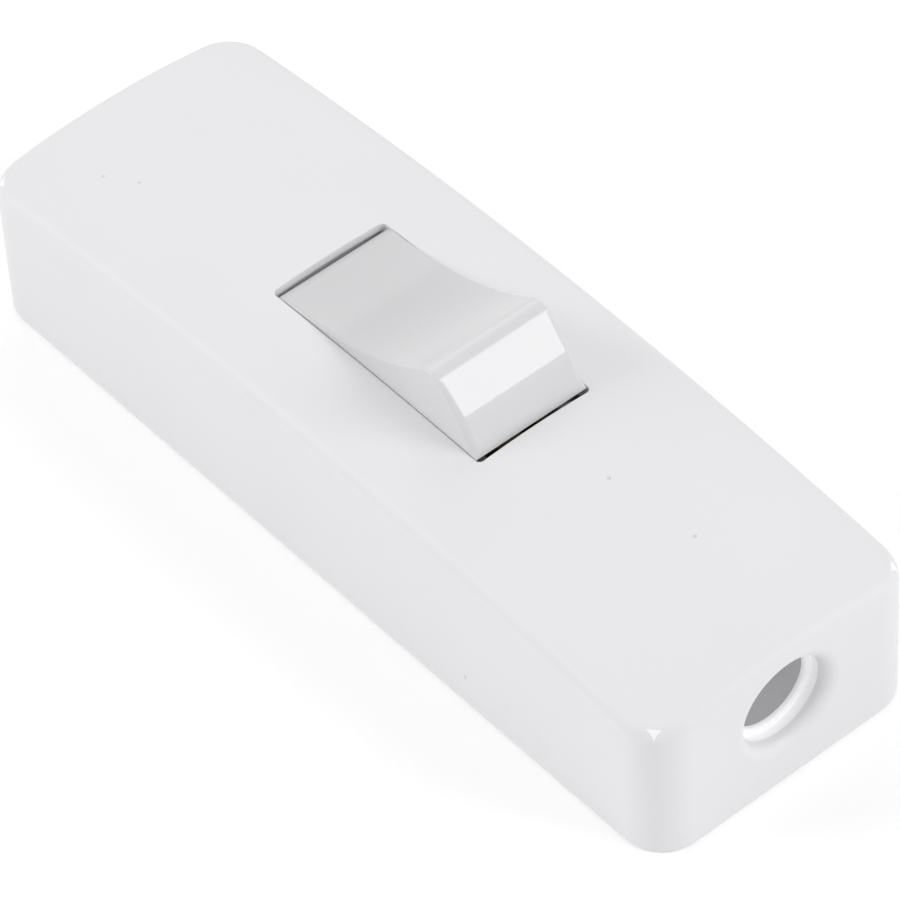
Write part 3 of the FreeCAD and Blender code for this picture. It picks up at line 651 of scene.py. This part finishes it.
def rocker_stations(sizes):
    """Return the outlines across the rocker, drawn in at its two rounded sides."""
    outline = rocker_outline(sizes)
    radii = [side_rounding(sizes, point) for point in outline]
    deepest = max(radii)
    rounding = []
    for step in range(2 * ARC_STEPS + 1):
        y = sizes.half_width - deepest * (1 - math.cos(step * math.pi / 4 / ARC_STEPS))
        rounding.append((y, inset(outline, [edge_fall(radius, sizes.half_width - y) for radius in radii])))
    return [(-y, line) for y, line in rounding] + [(y, line) for y, line in reversed(rounding)]


def wall_outline(sizes, share, foot):
    """Return the outline at a share of the thickness of the rocker's walls, down to a foot."""
    scoop_radius, scoop_centre = scoop_circle(sizes)
    corner = Vector(on_end_face(sizes, sizes.nose_angle))
    crest = Vector((sizes.crest_reach, sizes.crest_height))
    along = (crest - corner).normalized()
    inward = Vector((-along.y, along.x)) * sizes.end_wall * share
    shoulder = corner + inward
    radius = scoop_radius + sizes.top_wall * share
    reach = math.asin((crest + inward).x / radius) * SCOOP_SHARE
    end = sizes.radius - sizes.end_wall * share
    half = [(end, foot), (end, sizes.end_wall), (shoulder.x, shoulder.y)]
    top = arc(0, scoop_centre, radius, reach - math.pi / 2, -reach - math.pi / 2, SCOOP_STEPS)
    return half + top + mirrored(half)


def rocker_hollow(sizes):
    """Return the tool that hollows the rocker from below."""
    outline = wall_outline(sizes, 1.0, -2 * sizes.cheek_drop)
    wall = sizes.half_width - sizes.side_wall
    mesh_data = bmesh.new()
    add_prism(mesh_data, [(-wall, outline), (wall, outline)], rocker_place(sizes))
    return piece_from(mesh_data, "rocker_hollow")


def rocker_place(sizes):
    """Return the move from the rocker's own frame to the off position."""
    return Matrix.Translation((0, 0, sizes.pivot_height)) @ Matrix.Rotation(-sizes.tilt, 4, "Y")


def rocker_inside(sizes):
    """Return the stub axles, the plunger tubes and the web."""
    mesh_data = bmesh.new()
    place = rocker_place(sizes)
    sunk = sizes.crest_height - sizes.scoop_depth - sizes.top_wall / 2
    for side in (1, -1):
        tube = [(sizes.tube_radius, -sizes.tube_drop), (sizes.tube_radius, sunk), (sizes.tube_bore, sunk),
                (sizes.tube_bore, -sizes.tube_drop)]
        add_lathe(mesh_data, tube, place @ Matrix.Translation((0, side * sizes.tube_spacing, 0)), True)
        axle = [(sizes.trunnion_radius, sizes.half_width - sizes.side_wall / 2),
                (sizes.trunnion_radius, sizes.trunnion_reach)]
        add_lathe(mesh_data, axle, place @ Matrix.Rotation(-side * math.pi / 2, 4, "X"), False)
    web = wall_outline(sizes, 0.5, sizes.web_bottom)
    add_prism(mesh_data, [(-sizes.web_half, web), (sizes.web_half, web)], place)
    return piece_from(mesh_data, "rocker_inside")


def build_rocker():
    """Build the scooped rocker with its hollow, axles, tubes and web."""
    sizes = settings().rocker
    mesh_data = bmesh.new()
    add_prism(mesh_data, rocker_stations(sizes), rocker_place(sizes))
    shell = piece_from(mesh_data, "rocker_shell")
    carve(shell, rocker_hollow(sizes), "DIFFERENCE")
    carve(shell, rocker_inside(sizes), "UNION")
    finish_skin(shell, rocker_plastic())
    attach(shell, "rocker")
    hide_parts("rocker")


# Node helpers

def new_tree(name, kind, inputs, outputs):
    """Return an empty node tree with its sockets by name, and its input and output nodes."""
    tree = bpy.data.node_groups.new(name, kind)
    for direction, sockets in (("INPUT", inputs), ("OUTPUT", outputs)):
        for label, value in sockets.items():
            tree.interface.new_socket(name=label, in_out=direction, socket_type="NodeSocket" + value)
    return tree, tree.nodes.new("NodeGroupInput"), tree.nodes.new("NodeGroupOutput")


def feed(tree, node, values):
    """Give a node's inputs, by name or number, their links or values."""
    for label, value in values.items():
        if isinstance(value, bpy.types.NodeSocket):
            tree.links.new(value, node.inputs[label])
        else:
            node.inputs[label].default_value = value


def add_node(tree, kind, values, group=None):
    """Add a node, or a group, with its links or values, and return it."""
    node = tree.nodes.new(kind)
    if group:
        node.node_tree = group
    feed(tree, node, values)
    return node


def maths(tree, operation, first, second):
    """Add a maths node on two sockets or numbers and return its value."""
    node = tree.nodes.new("ShaderNodeMath")
    node.operation = operation
    feed(tree, node, {0: first, 1: second})
    return node.outputs["Value"]


def noise(tree, vector, pattern):
    """Add the noise texture of a pattern and return its value."""
    scale, detail = PATTERNS[pattern]
    node = add_node(tree, "ShaderNodeTexNoise", {"Vector": vector, "Scale": scale, "Detail": detail})
    return node.outputs["Fac"]


def spread(tree, value, low, high):
    """Add a node that maps 0..1 to low..high and return its value."""
    node = add_node(tree, "ShaderNodeMapRange", {"Value": value, "To Min": low, "To Max": high})
    return node.outputs["Result"]


def shaded(tree, tint, value):
    """Add a node that darkens or lightens a colour and return the colour."""
    return add_node(tree, "ShaderNodeHueSaturation", {"Color": tint, "Value": value}).outputs["Color"]


def mixed(tree, share, first, second):
    """Add a node that mixes two colours and return the colour."""
    node = tree.nodes.new("ShaderNodeMix")
    node.data_type = "RGBA"
    feed(tree, node, {"Factor": share, 6: first, 7: second})
    return node.outputs[2]


def distance(tree, vector, place):
    """Add a node that measures how far coordinates are from a place, and return its value."""
    node = tree.nodes.new("ShaderNodeVectorMath")
    node.operation = "DISTANCE"
    feed(tree, node, {0: vector, 1: place})
    return node.outputs["Value"]


# Finishes

def moulded_skin_group():
    """Return the shared look of moulded plastic: soft shade changes, uneven gloss and a fine grain."""
    name = "moulded_skin"
    if name in bpy.data.node_groups:
        return bpy.data.node_groups[name]
    tree, enter, leave = new_tree(
        name, "ShaderNodeTree",
        {"Vector": "Vector", "Color": "Color", "Gloss Low": "Float", "Gloss High": "Float"},
        {"Color": "Color", "Roughness": "Float", "Height": "Float"})
    given = enter.outputs
    cloud, grain, ripple = [noise(tree, given["Vector"], name) for name in ("cloud", "grain", "ripple")]
    uneven = maths(tree, "ADD", maths(tree, "MULTIPLY", cloud, CLOUD_SHARE),
                   maths(tree, "MULTIPLY", grain, GRAIN_SHARE))
    feed(tree, leave, {
        "Color": shaded(tree, given["Color"], spread(tree, cloud, *CLOUD_SHADES)),
        "Roughness": spread(tree, uneven, given["Gloss Low"], given["Gloss High"]),
        "Height": maths(tree, "ADD", grain, maths(tree, "MULTIPLY", ripple, RIPPLE_SHARE))})
    return tree


def speck_group():
    """Return the shared look of one ragged speck of dust at a place."""
    name = "dust_speck"
    if name in bpy.data.node_groups:
        return bpy.data.node_groups[name]
    tree, enter, leave = new_tree(
        name, "ShaderNodeTree",
        {"Vector": "Vector", "Color": "Color", "Dust": "Color", "Place": "Vector", "Radius": "Float"},
        {"Color": "Color"})
    given = enter.outputs
    ragged = spread(tree, noise(tree, given["Vector"], "ragged"), *SPECK_STRAY)
    share = maths(tree, "DIVIDE", distance(tree, given["Vector"], given["Place"]),
                  maths(tree, "MULTIPLY", given["Radius"], ragged))
    hidden = maths(tree, "SUBTRACT", 1.0, maths(tree, "POWER", share, SPECK_SHARPNESS))
    hidden = maths(tree, "MAXIMUM", hidden, 0.0)
    feed(tree, leave, {"Color": mixed(tree, hidden, given["Color"], given["Dust"])})
    return tree


def metal_skin_group():
    """Return the shared look of worked metal: drawn lines, tarnish and uneven polish."""
    name = "worked_metal"
    if name in bpy.data.node_groups:
        return bpy.data.node_groups[name]
    tree, enter, leave = new_tree(
        name, "ShaderNodeTree",
        {"Vector": "Vector", "Color": "Color", "Tarnish": "Color", "Polish Low": "Float",
         "Polish High": "Float"},
        {"Color": "Color", "Roughness": "Float", "Height": "Float"})
    given = enter.outputs
    drawn = add_node(tree, "ShaderNodeMapping", {"Vector": given["Vector"], "Scale": DRAWN_STRETCH})
    lines = noise(tree, drawn.outputs["Vector"], "drawn")
    patches = spread(tree, noise(tree, given["Vector"], "patches"), *TARNISH_RANGE)
    feed(tree, leave, {
        "Color": mixed(tree, patches, given["Color"], given["Tarnish"]),
        "Roughness": spread(tree, lines, given["Polish Low"], given["Polish High"]),
        "Height": lines})
    return tree


def parts_of(material):
    """Return a material's tree, shader and object coordinates."""
    tree = material.node_tree
    return tree, tree.nodes["Principled BSDF"], tree.nodes["Texture Coordinate"].outputs["Object"]


def new_material(name):
    """Return a material that has a shader and object coordinates."""
    material = bpy.data.materials.new(name)
    material.use_nodes = True
    material.node_tree.nodes.new("ShaderNodeTexCoord")
    return material


def skinned(name, group, values, relief):
    """Return a material whose colour, roughness and relief come from a shared look."""
    material = new_material(name)
    tree, shader, place = parts_of(material)
    skin = add_node(tree, "ShaderNodeGroup", {"Vector": place, **values}, group)
    depth, strength = relief
    bump = add_node(tree, "ShaderNodeBump", {
        "Distance": depth * MM, "Strength": strength, "Height": skin.outputs["Height"]})
    feed(tree, shader, {"Base Color": skin.outputs["Color"], "Roughness": skin.outputs["Roughness"],
                        "Normal": bump.outputs["Normal"]})
    return material


def tint_of(shader):
    """Return the socket that colours a shader."""
    return shader.inputs["Base Color"].links[0].from_socket


def opaque(rgb):
    """Return a colour setting as a colour with full cover."""
    return (*rgb, 1.0)


def plastic(name, specks=()):
    """Return the moulded plastic of a slot, with specks of dust at the places given."""
    colours = settings().colours
    low, high = PLASTIC_ROUGHNESS[name]
    material = skinned(name, moulded_skin_group(), {
        "Color": opaque(getattr(colours, name)), "Gloss Low": low, "Gloss High": high}, PLASTIC_RELIEF)
    tree, shader, place = parts_of(material)
    tint = tint_of(shader)
    for centre, radius in specks:
        speck = add_node(tree, "ShaderNodeGroup", {
            "Vector": place, "Color": tint, "Dust": opaque(colours.dust), "Place": Vector(centre) * MM,
            "Radius": radius * MM}, speck_group())
        tint = speck.outputs["Color"]
    feed(tree, shader, {"Base Color": tint, "IOR": PLASTIC_IOR})
    return material


def painted_glow_mask(tree, place):
    """Return 1 on the inner sides of the housing's two end chambers, where a glow is painted, and 0
    elsewhere.
    """
    sizes = settings().cover
    axes = add_node(tree, "ShaderNodeSeparateXYZ", {"Vector": place}).outputs
    reaches = [maths(tree, "ABSOLUTE", axes[axis], 0.0) for axis in "XYZ"]
    middles = (COVER_HIGH.x - sizes.end_wall / 2, COVER_HIGH.y - sizes.side_wall / 2,
               sizes.crown_top - sizes.end_drop - sizes.roof_wall / 2)
    inside = maths(tree, "GREATER_THAN", reaches[0], sizes.window_length / 2 + sizes.end_wall)
    for reach, middle in zip(reaches, middles):
        inside = maths(tree, "MULTIPLY", inside, maths(tree, "LESS_THAN", reach, middle))
    return inside


def cover_plastic():
    """Return the housing's white plastic, with specks of dust on it and a faint glow painted on the inner
    sides of its end chambers.
    """
    material = plastic("cover_plastic", DUST_SPECKS)
    tree, shader, place = parts_of(material)
    # Painted glow: the inner sides of the end chambers give off a faint light of their own, standing in for
    # light through the walls
    feed(tree, shader, {"Emission Color": painted_glow_mask(tree, place), "Emission Strength": PAINTED_GLOW_STRENGTH})
    material.cycles.emission_sampling = "NONE"
    return material


def rocker_plastic():
    """Return the rocker's white plastic, glossier than the housing's, with shade painted darker over its
    scoop.
    """
    material = plastic("rocker_plastic")
    tree, shader, place = parts_of(material)
    # Painted shade: the scoop is darkest near its far end and lighter with distance from there
    painted_scoop_shade = spread(tree, distance(tree, place, Vector(SCOOP_SHADE_PLACE) * MM), SCOOP_SHADE_VALUE, 1.0)
    painted_scoop_shade.node.interpolation_type = "SMOOTHSTEP"
    feed(tree, painted_scoop_shade.node, {"From Min": SCOOP_SHADE_CORE * MM, "From Max": SCOOP_SHADE_REACH * MM})
    feed(tree, shader, {"Base Color": shaded(tree, tint_of(shader), painted_scoop_shade)})
    return material


def metal(name):
    """Return the worked metal of a slot, darker where its tarnish lies."""
    rgb = getattr(settings().colours, name)
    tarnish, low, high = METAL_LOOKS[name]
    material = skinned(name, metal_skin_group(), {
        "Color": opaque(rgb), "Tarnish": opaque([tarnish * part for part in rgb]), "Polish Low": low,
        "Polish High": high}, METAL_RELIEF)
    tree, shader = parts_of(material)[:2]
    feed(tree, shader, {"Metallic": 1.0})
    return material


# Fastenings and springs

def new_geometry_tree(name, lengths):
    """Return an empty geometry tree that takes named lengths, and its input and output nodes."""
    inputs = {"Geometry": "Geometry", **dict.fromkeys(lengths, "Float"), "Turn": "Vector",
              "Material": "Material"}
    return new_tree(name, "GeometryNodeTree", inputs, {"Geometry": "Geometry"})


def raised(tree, geometry, height):
    """Move a geometry up by a height socket and return it."""
    lift = add_node(tree, "ShaderNodeCombineXYZ", {"Z": height})
    move = add_node(tree, "GeometryNodeTransform", {"Geometry": geometry, "Translation": lift.outputs[0]})
    return move.outputs["Geometry"]


def solid_of(tree, operation, solids, first=None):
    """Join, intersect or take away solids and return the result."""
    node = tree.nodes.new("GeometryNodeMeshBoolean")
    node.operation = operation
    node.solver = "MANIFOLD"
    if first:
        tree.links.new(first, node.inputs["Mesh 1"])
    for solid in solids:
        tree.links.new(solid, node.inputs["Mesh 2"])
    return node.outputs["Mesh"]


def end_tree(tree, enter, leave, shape):
    """Set a shape on every point, turn it, make it real and give it its material."""
    turn = add_node(tree, "FunctionNodeEulerToRotation", {"Euler": enter.outputs["Turn"]})
    spots = add_node(tree, "GeometryNodeInstanceOnPoints", {
        "Points": enter.outputs["Geometry"], "Instance": shape, "Rotation": turn.outputs["Rotation"]})
    real = add_node(tree, "GeometryNodeRealizeInstances", {"Geometry": spots.outputs["Instances"]})
    finish = add_node(tree, "GeometryNodeSetMaterial", {
        "Geometry": real.outputs["Geometry"], "Material": enter.outputs["Material"]})
    tree.links.new(finish.outputs["Geometry"], leave.inputs["Geometry"])


def screw_tree():
    """Return the tree that sets a slotted, threaded screw on every point, its head above the point."""
    tree, enter, leave = new_geometry_tree("slotted_screws", (
        "Head Radius", "Head Height", "Head Crown", "Shank Radius", "Shank Length", "Slot Width",
        "Slot Depth", "Thread Pitch", "Thread Depth"))
    size = enter.outputs
    tall = maths(tree, "ADD", size["Head Height"], size["Head Crown"])
    drum = add_node(tree, "GeometryNodeMeshCylinder", {
        "Vertices": LATHE_STEPS, "Radius": size["Head Radius"], "Depth": tall})
    slope = add_node(tree, "GeometryNodeMeshCone", {
        "Vertices": LATHE_STEPS, "Depth": tall,
        "Radius Bottom": maths(tree, "ADD", size["Head Radius"], size["Head Height"]),
        "Radius Top": maths(tree, "SUBTRACT", size["Head Radius"], size["Head Crown"])})
    head = solid_of(tree, "INTERSECT", [
        raised(tree, drum.outputs["Mesh"], maths(tree, "MULTIPLY", tall, 0.5)),
        raised(tree, slope.outputs["Mesh"], maths(tree, "MULTIPLY", size["Head Crown"], -1.0))])
    slot_size = add_node(tree, "ShaderNodeCombineXYZ", {
        "X": maths(tree, "MULTIPLY", size["Head Radius"], SLOT_CUTTER), "Y": size["Slot Width"],
        "Z": maths(tree, "MULTIPLY", size["Slot Depth"], 2.0)})
    slot = add_node(tree, "GeometryNodeMeshCube", {"Size": slot_size.outputs[0]})
    slotted = solid_of(tree, "DIFFERENCE", [raised(tree, slot.outputs["Mesh"], size["Head Height"])], head)
    core_radius = maths(tree, "SUBTRACT", size["Shank Radius"], size["Thread Depth"])
    sunk = maths(tree, "SUBTRACT", size["Head Height"], size["Slot Depth"])
    overlap = maths(tree, "MULTIPLY", sunk, 0.5)
    core = add_node(tree, "GeometryNodeMeshCylinder", {
        "Vertices": LATHE_STEPS, "Depth": maths(tree, "ADD", size["Shank Length"], overlap),
        "Radius": core_radius})
    core_middle = maths(tree, "MULTIPLY", maths(tree, "SUBTRACT", overlap, size["Shank Length"]), 0.5)
    run = maths(tree, "SUBTRACT", size["Shank Length"], size["Thread Pitch"])
    spiral = add_node(tree, "GeometryNodeCurveSpiral", {
        "Resolution": LATHE_STEPS // 2, "Rotations": maths(tree, "DIVIDE", run, size["Thread Pitch"]),
        "Start Radius": core_radius, "End Radius": core_radius, "Height": run})
    ridge = add_node(tree, "GeometryNodeCurvePrimitiveCircle", {
        "Resolution": THREAD_SIDES, "Radius": size["Thread Depth"]})
    thread = add_node(tree, "GeometryNodeCurveToMesh", {
        "Curve": spiral.outputs["Curve"], "Profile Curve": ridge.outputs["Curve"], "Fill Caps": True})
    thread_foot = maths(tree, "SUBTRACT", size["Thread Depth"], size["Shank Length"])
    screw = solid_of(tree, "UNION", [
        slotted, raised(tree, core.outputs["Mesh"], core_middle),
        raised(tree, thread.outputs["Mesh"], thread_foot)])
    end_tree(tree, enter, leave, screw)
    return tree


def spring_tree():
    """Return the tree that sets a coil spring on every point."""
    tree, enter, leave = new_geometry_tree("coil_springs", ("Coil Radius", "Wire Radius", "Turns", "Height"))
    size = enter.outputs
    coil = add_node(tree, "GeometryNodeCurveSpiral", {
        "Resolution": LATHE_STEPS // 2, "Rotations": size["Turns"], "Start Radius": size["Coil Radius"],
        "End Radius": size["Coil Radius"], "Height": size["Height"]})
    wire = add_node(tree, "GeometryNodeCurvePrimitiveCircle", {
        "Resolution": 2 * ARC_STEPS, "Radius": size["Wire Radius"]})
    tube = add_node(tree, "GeometryNodeCurveToMesh", {
        "Curve": coil.outputs["Curve"], "Profile Curve": wire.outputs["Curve"], "Fill Caps": True})
    end_tree(tree, enter, leave, tube.outputs["Mesh"])
    return tree


def grown(name, places, tree, values):
    """Grow a geometry tree on points and return the result as a plain mesh object."""
    mesh = bpy.data.meshes.new(name)
    mesh.from_pydata(places, [], [])
    piece = bpy.data.objects.new(name, mesh)
    bpy.context.scene.collection.objects.link(piece)
    modifier = piece.modifiers.new(tree.name, "NODES")
    modifier.node_group = tree
    for item in tree.interface.items_tree:
        if item.in_out == "INPUT" and item.name in values:
            modifier[item.identifier] = values[item.name]
    bake(piece)
    if not piece.data.polygons:
        raise RuntimeError(f"{tree.name} made nothing for {name}")
    piece.data.shade_smooth()
    piece.data.set_sharp_from_angle(angle=SMOOTH_ANGLE)
    return piece


def screw_values(head_radius, head_height, shank_radius, shank_length, turn, material):
    """Return the inputs of the screw tree for one kind of screw."""
    sizes = settings().fastenings
    return {"Head Radius": head_radius, "Head Height": head_height, "Shank Radius": shank_radius,
            "Shank Length": shank_length, "Head Crown": sizes.head_crown, "Slot Width": sizes.slot_width,
            "Slot Depth": sizes.slot_depth, "Thread Pitch": sizes.thread_pitch,
            "Thread Depth": sizes.thread_depth, "Turn": turn, "Material": material}


def build_screws():
    """Build the housing, clamp and terminal screws with their slots and threads."""
    sizes = settings().fastenings
    tree = screw_tree()
    steel = metal("screw_steel")
    upright = (0.0, 0.0, 0.0)
    upturned = (math.pi, 0.0, 0.0)
    low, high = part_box("housing_screws")
    seat = low.z + sizes.housing_head_height
    kinds = [("housing_screws", sizes.housing_shank_radius, high.y, sizes.housing_head_height,
              [(end * (high.x - high.y), 0.0, seat) for end in (1, -1)], high.z - seat, upturned)]
    for name, shank, head, rise in (
            ("clamp_screws", sizes.clamp_shank_radius, sizes.clamp_head_radius, sizes.clamp_head_height),
            ("terminal_screws", sizes.terminal_shank_radius, sizes.terminal_head_radius,
             sizes.terminal_head_height)):
        low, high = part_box(name)
        seat = high.z - rise
        spots = [(end * (high.x - head), side * (high.y - head), seat)
                 for end in (1, -1) for side in (1, -1)]
        kinds.append((name, shank, head, rise, spots, seat - low.z, upright))
    for name, shank, head, rise, spots, reach, turn in kinds:
        values = screw_values(head, rise, shank, reach, turn, steel)
        piece = grown(name.replace("_screws", "_screw_set"), spots, tree, values)
        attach(piece, "housing")
        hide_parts(name)


def build_springs():
    """Build the two plunger springs inside the rocker."""
    sizes = settings().springs
    rocker = settings().rocker
    place = rocker_place(rocker)
    spots = [place @ Vector((0, side * rocker.tube_spacing, sizes.low)) for side in (1, -1)]
    piece = grown("plunger_spring_pair", spots, spring_tree(), {
        "Coil Radius": sizes.coil_radius, "Wire Radius": sizes.wire_radius, "Turns": float(sizes.turns),
        "Height": sizes.high - sizes.low, "Turn": (0.0, -rocker.tilt, 0.0),
        "Material": metal("spring_steel")})
    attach(piece, "rocker")
    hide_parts("plunger_spring_left", "plunger_spring_right")


# Pieces whose packed shape is right

def finish_nodes():
    """Give the base, clamps, plungers and electrical pieces their finishes."""
    nylon = plastic("inner_plastic")
    brass = metal("brass_strip")
    silver = metal("contact_metal")
    finishes = {"base": plastic("base_plastic"), "near_cord_clamp": nylon, "far_cord_clamp": nylon}
    for name, material in (("plunger", nylon), ("seesaw", brass), ("moving_contact", silver),
                           ("fixed_contact", silver), ("common_terminal", brass),
                           ("switched_terminal", brass)):
        for side in ("left", "right"):
            finishes[f"{name}_{side}"] = material
    for name, material in finishes.items():
        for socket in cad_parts[name].material_slots:
            socket.material = material


# Stage

def seen_directly(tree):
    """Return 1 for rays from the camera, from a reflection or through glass, and 0 for the rest."""
    path = tree.nodes.new("ShaderNodeLightPath").outputs
    return maths(tree, "MAXIMUM", path["Is Camera Ray"],
                 maths(tree, "MAXIMUM", path["Is Glossy Ray"], path["Is Transmission Ray"]))


def pale_floor():
    """Return a white floor that keeps soft shadows, reads white when seen, and is clear from below."""
    material = new_material("pale_floor")
    tree, shader = parts_of(material)[:2]
    behind = tree.nodes.new("ShaderNodeNewGeometry").outputs["Backfacing"]
    feed(tree, shader, {
        "Base Color": opaque([FLOOR_GREY] * 3), "Roughness": FLOOR_ROUGHNESS,
        "Alpha": maths(tree, "SUBTRACT", 1.0, behind), "Emission Color": opaque([1.0] * 3),
        "Emission Strength": spread(tree, seen_directly(tree), 0.0, FLOOR_LIFT)})
    return material


def white_world(strength):
    """Light the scene evenly from all round, with a white sky for the camera and for reflections."""
    world = bpy.data.worlds.new("studio")
    world.use_nodes = True
    tree = world.node_tree
    sky = tree.nodes["Background"]
    feed(tree, sky, {"Color": opaque([1.0] * 3),
                     "Strength": spread(tree, seen_directly(tree), strength, 1.0)})
    bpy.context.scene.world = world


def soft_light(name, azimuth, elevation, studio):
    """Add a large square light that looks at the switch from a direction in degrees."""
    data = bpy.data.lights.new(name, "AREA")
    data.shape = "SQUARE"
    data.size = studio.light_size
    data.energy = getattr(studio, name)
    light = bpy.data.objects.new(name, data)
    turn, rise = math.radians(azimuth), math.radians(elevation)
    place = Vector((math.sin(turn) * math.cos(rise), -math.cos(turn) * math.cos(rise), math.sin(rise)))
    light.matrix_world = (Matrix.Translation(place * studio.light_distance)
                          @ place.to_track_quat("Z", "Y").to_matrix().to_4x4())
    bpy.context.scene.collection.objects.link(light)


def add_camera(studio):
    """Add the camera at its place and look through it."""
    data = bpy.data.cameras.new("camera")
    data.lens = studio.lens
    data.clip_end = CAMERA_REACH
    camera = bpy.data.objects.new("camera", data)
    look = (Matrix.Rotation(studio.azimuth, 4, "Z")
            @ Matrix.Rotation(math.pi / 2 - studio.elevation, 4, "X")
            @ Matrix.Rotation(-studio.roll, 4, "Z"))
    camera.matrix_world = (Matrix.Translation(studio.target) @ look
                           @ Matrix.Translation((0, 0, studio.distance)))
    bpy.context.scene.collection.objects.link(camera)
    bpy.context.scene.camera = camera


def add_floor(studio):
    """Add the floor, left open under the switch."""
    mesh_data = bmesh.new()
    reach = studio.floor_size / 2
    corner = settings().cover.corner_radius
    rim = studio.floor_rim
    plans = (plan_points(reach, reach, corner),
             plan_points(COVER_HIGH.x - rim, COVER_HIGH.y - rim, corner - rim))
    add_skin(mesh_data, [level(plan, -studio.floor_drop) for plan in plans], False)
    mesh = bpy.data.meshes.new("floor")
    mesh_data.to_mesh(mesh)
    mesh_data.free()
    floor = bpy.data.objects.new("floor", mesh)
    bpy.context.scene.collection.objects.link(floor)
    mesh.materials.append(pale_floor())


def build_stage():
    """Build the floor, the lights and the camera."""
    studio = settings().studio
    add_floor(studio)
    white_world(studio.ambient)
    for name, (azimuth, elevation) in LIGHT_DIRECTIONS.items():
        soft_light(name, azimuth, elevation, studio)
    add_camera(studio)
    bpy.context.scene.view_settings.view_transform = "Standard"


# Operators, panel and registration

class SWITCH_OT_cover(bpy.types.Operator):
    """Build the housing shell"""
    bl_idname = "cord_switch.cover"
    bl_label = "Cover"

    def execute(self, context):
        build_cover()
        return {"FINISHED"}


class SWITCH_OT_rocker(bpy.types.Operator):
    """Build the rocker"""
    bl_idname = "cord_switch.rocker"
    bl_label = "Rocker"

    def execute(self, context):
        build_rocker()
        return {"FINISHED"}


class SWITCH_OT_screws(bpy.types.Operator):
    """Build the housing, clamp and terminal screws"""
    bl_idname = "cord_switch.screws"
    bl_label = "Screws"

    def execute(self, context):
        build_screws()
        return {"FINISHED"}


class SWITCH_OT_springs(bpy.types.Operator):
    """Build the plunger springs"""
    bl_idname = "cord_switch.springs"
    bl_label = "Springs"

    def execute(self, context):
        build_springs()
        return {"FINISHED"}


class SWITCH_OT_inner_finishes(bpy.types.Operator):
    """Finish the base, clamps, plungers and electrical pieces"""
    bl_idname = "cord_switch.inner_finishes"
    bl_label = "Inner finishes"

    def execute(self, context):
        finish_nodes()
        return {"FINISHED"}


class SWITCH_OT_stage(bpy.types.Operator):
    """Build the floor, the lights and the camera"""
    bl_idname = "cord_switch.stage"
    bl_label = "Stage"

    def execute(self, context):
        build_stage()
        return {"FINISHED"}


OPERATORS = (SWITCH_OT_cover, SWITCH_OT_rocker, SWITCH_OT_screws, SWITCH_OT_springs,
             SWITCH_OT_inner_finishes, SWITCH_OT_stage)


class SWITCH_PT_sidebar(bpy.types.Panel):
    """Lists the pieces of the switch"""
    bl_idname = "SWITCH_PT_sidebar"
    bl_label = "Cord switch"
    bl_space_type = "VIEW_3D"
    bl_region_type = "UI"
    bl_category = "Cord switch"

    def draw(self, context):
        for operator in OPERATORS:
            self.layout.operator(operator.bl_idname)


CLASSES = (CoverSizes, RockerSizes, FasteningSizes, SpringSizes, FinishColours, StudioSettings,
           SwitchSettings) + OPERATORS + (SWITCH_PT_sidebar,)


def register():
    """Register the classes and hang the settings on the scene."""
    for kind in CLASSES:
        bpy.utils.register_class(kind)
    bpy.types.Scene.cord_switch = PointerProperty(type=SwitchSettings)


def unregister():
    """Take the settings off the scene and unregister the classes."""
    del bpy.types.Scene.cord_switch
    for kind in reversed(CLASSES):
        bpy.utils.unregister_class(kind)


def main():
    """Build every piece in order."""
    register()
    bpy.ops.cord_switch.cover()
    bpy.ops.cord_switch.rocker()
    bpy.ops.cord_switch.screws()
    bpy.ops.cord_switch.springs()
    bpy.ops.cord_switch.inner_finishes()
    bpy.ops.cord_switch.stage()


if __name__ == "__main__":
    main()
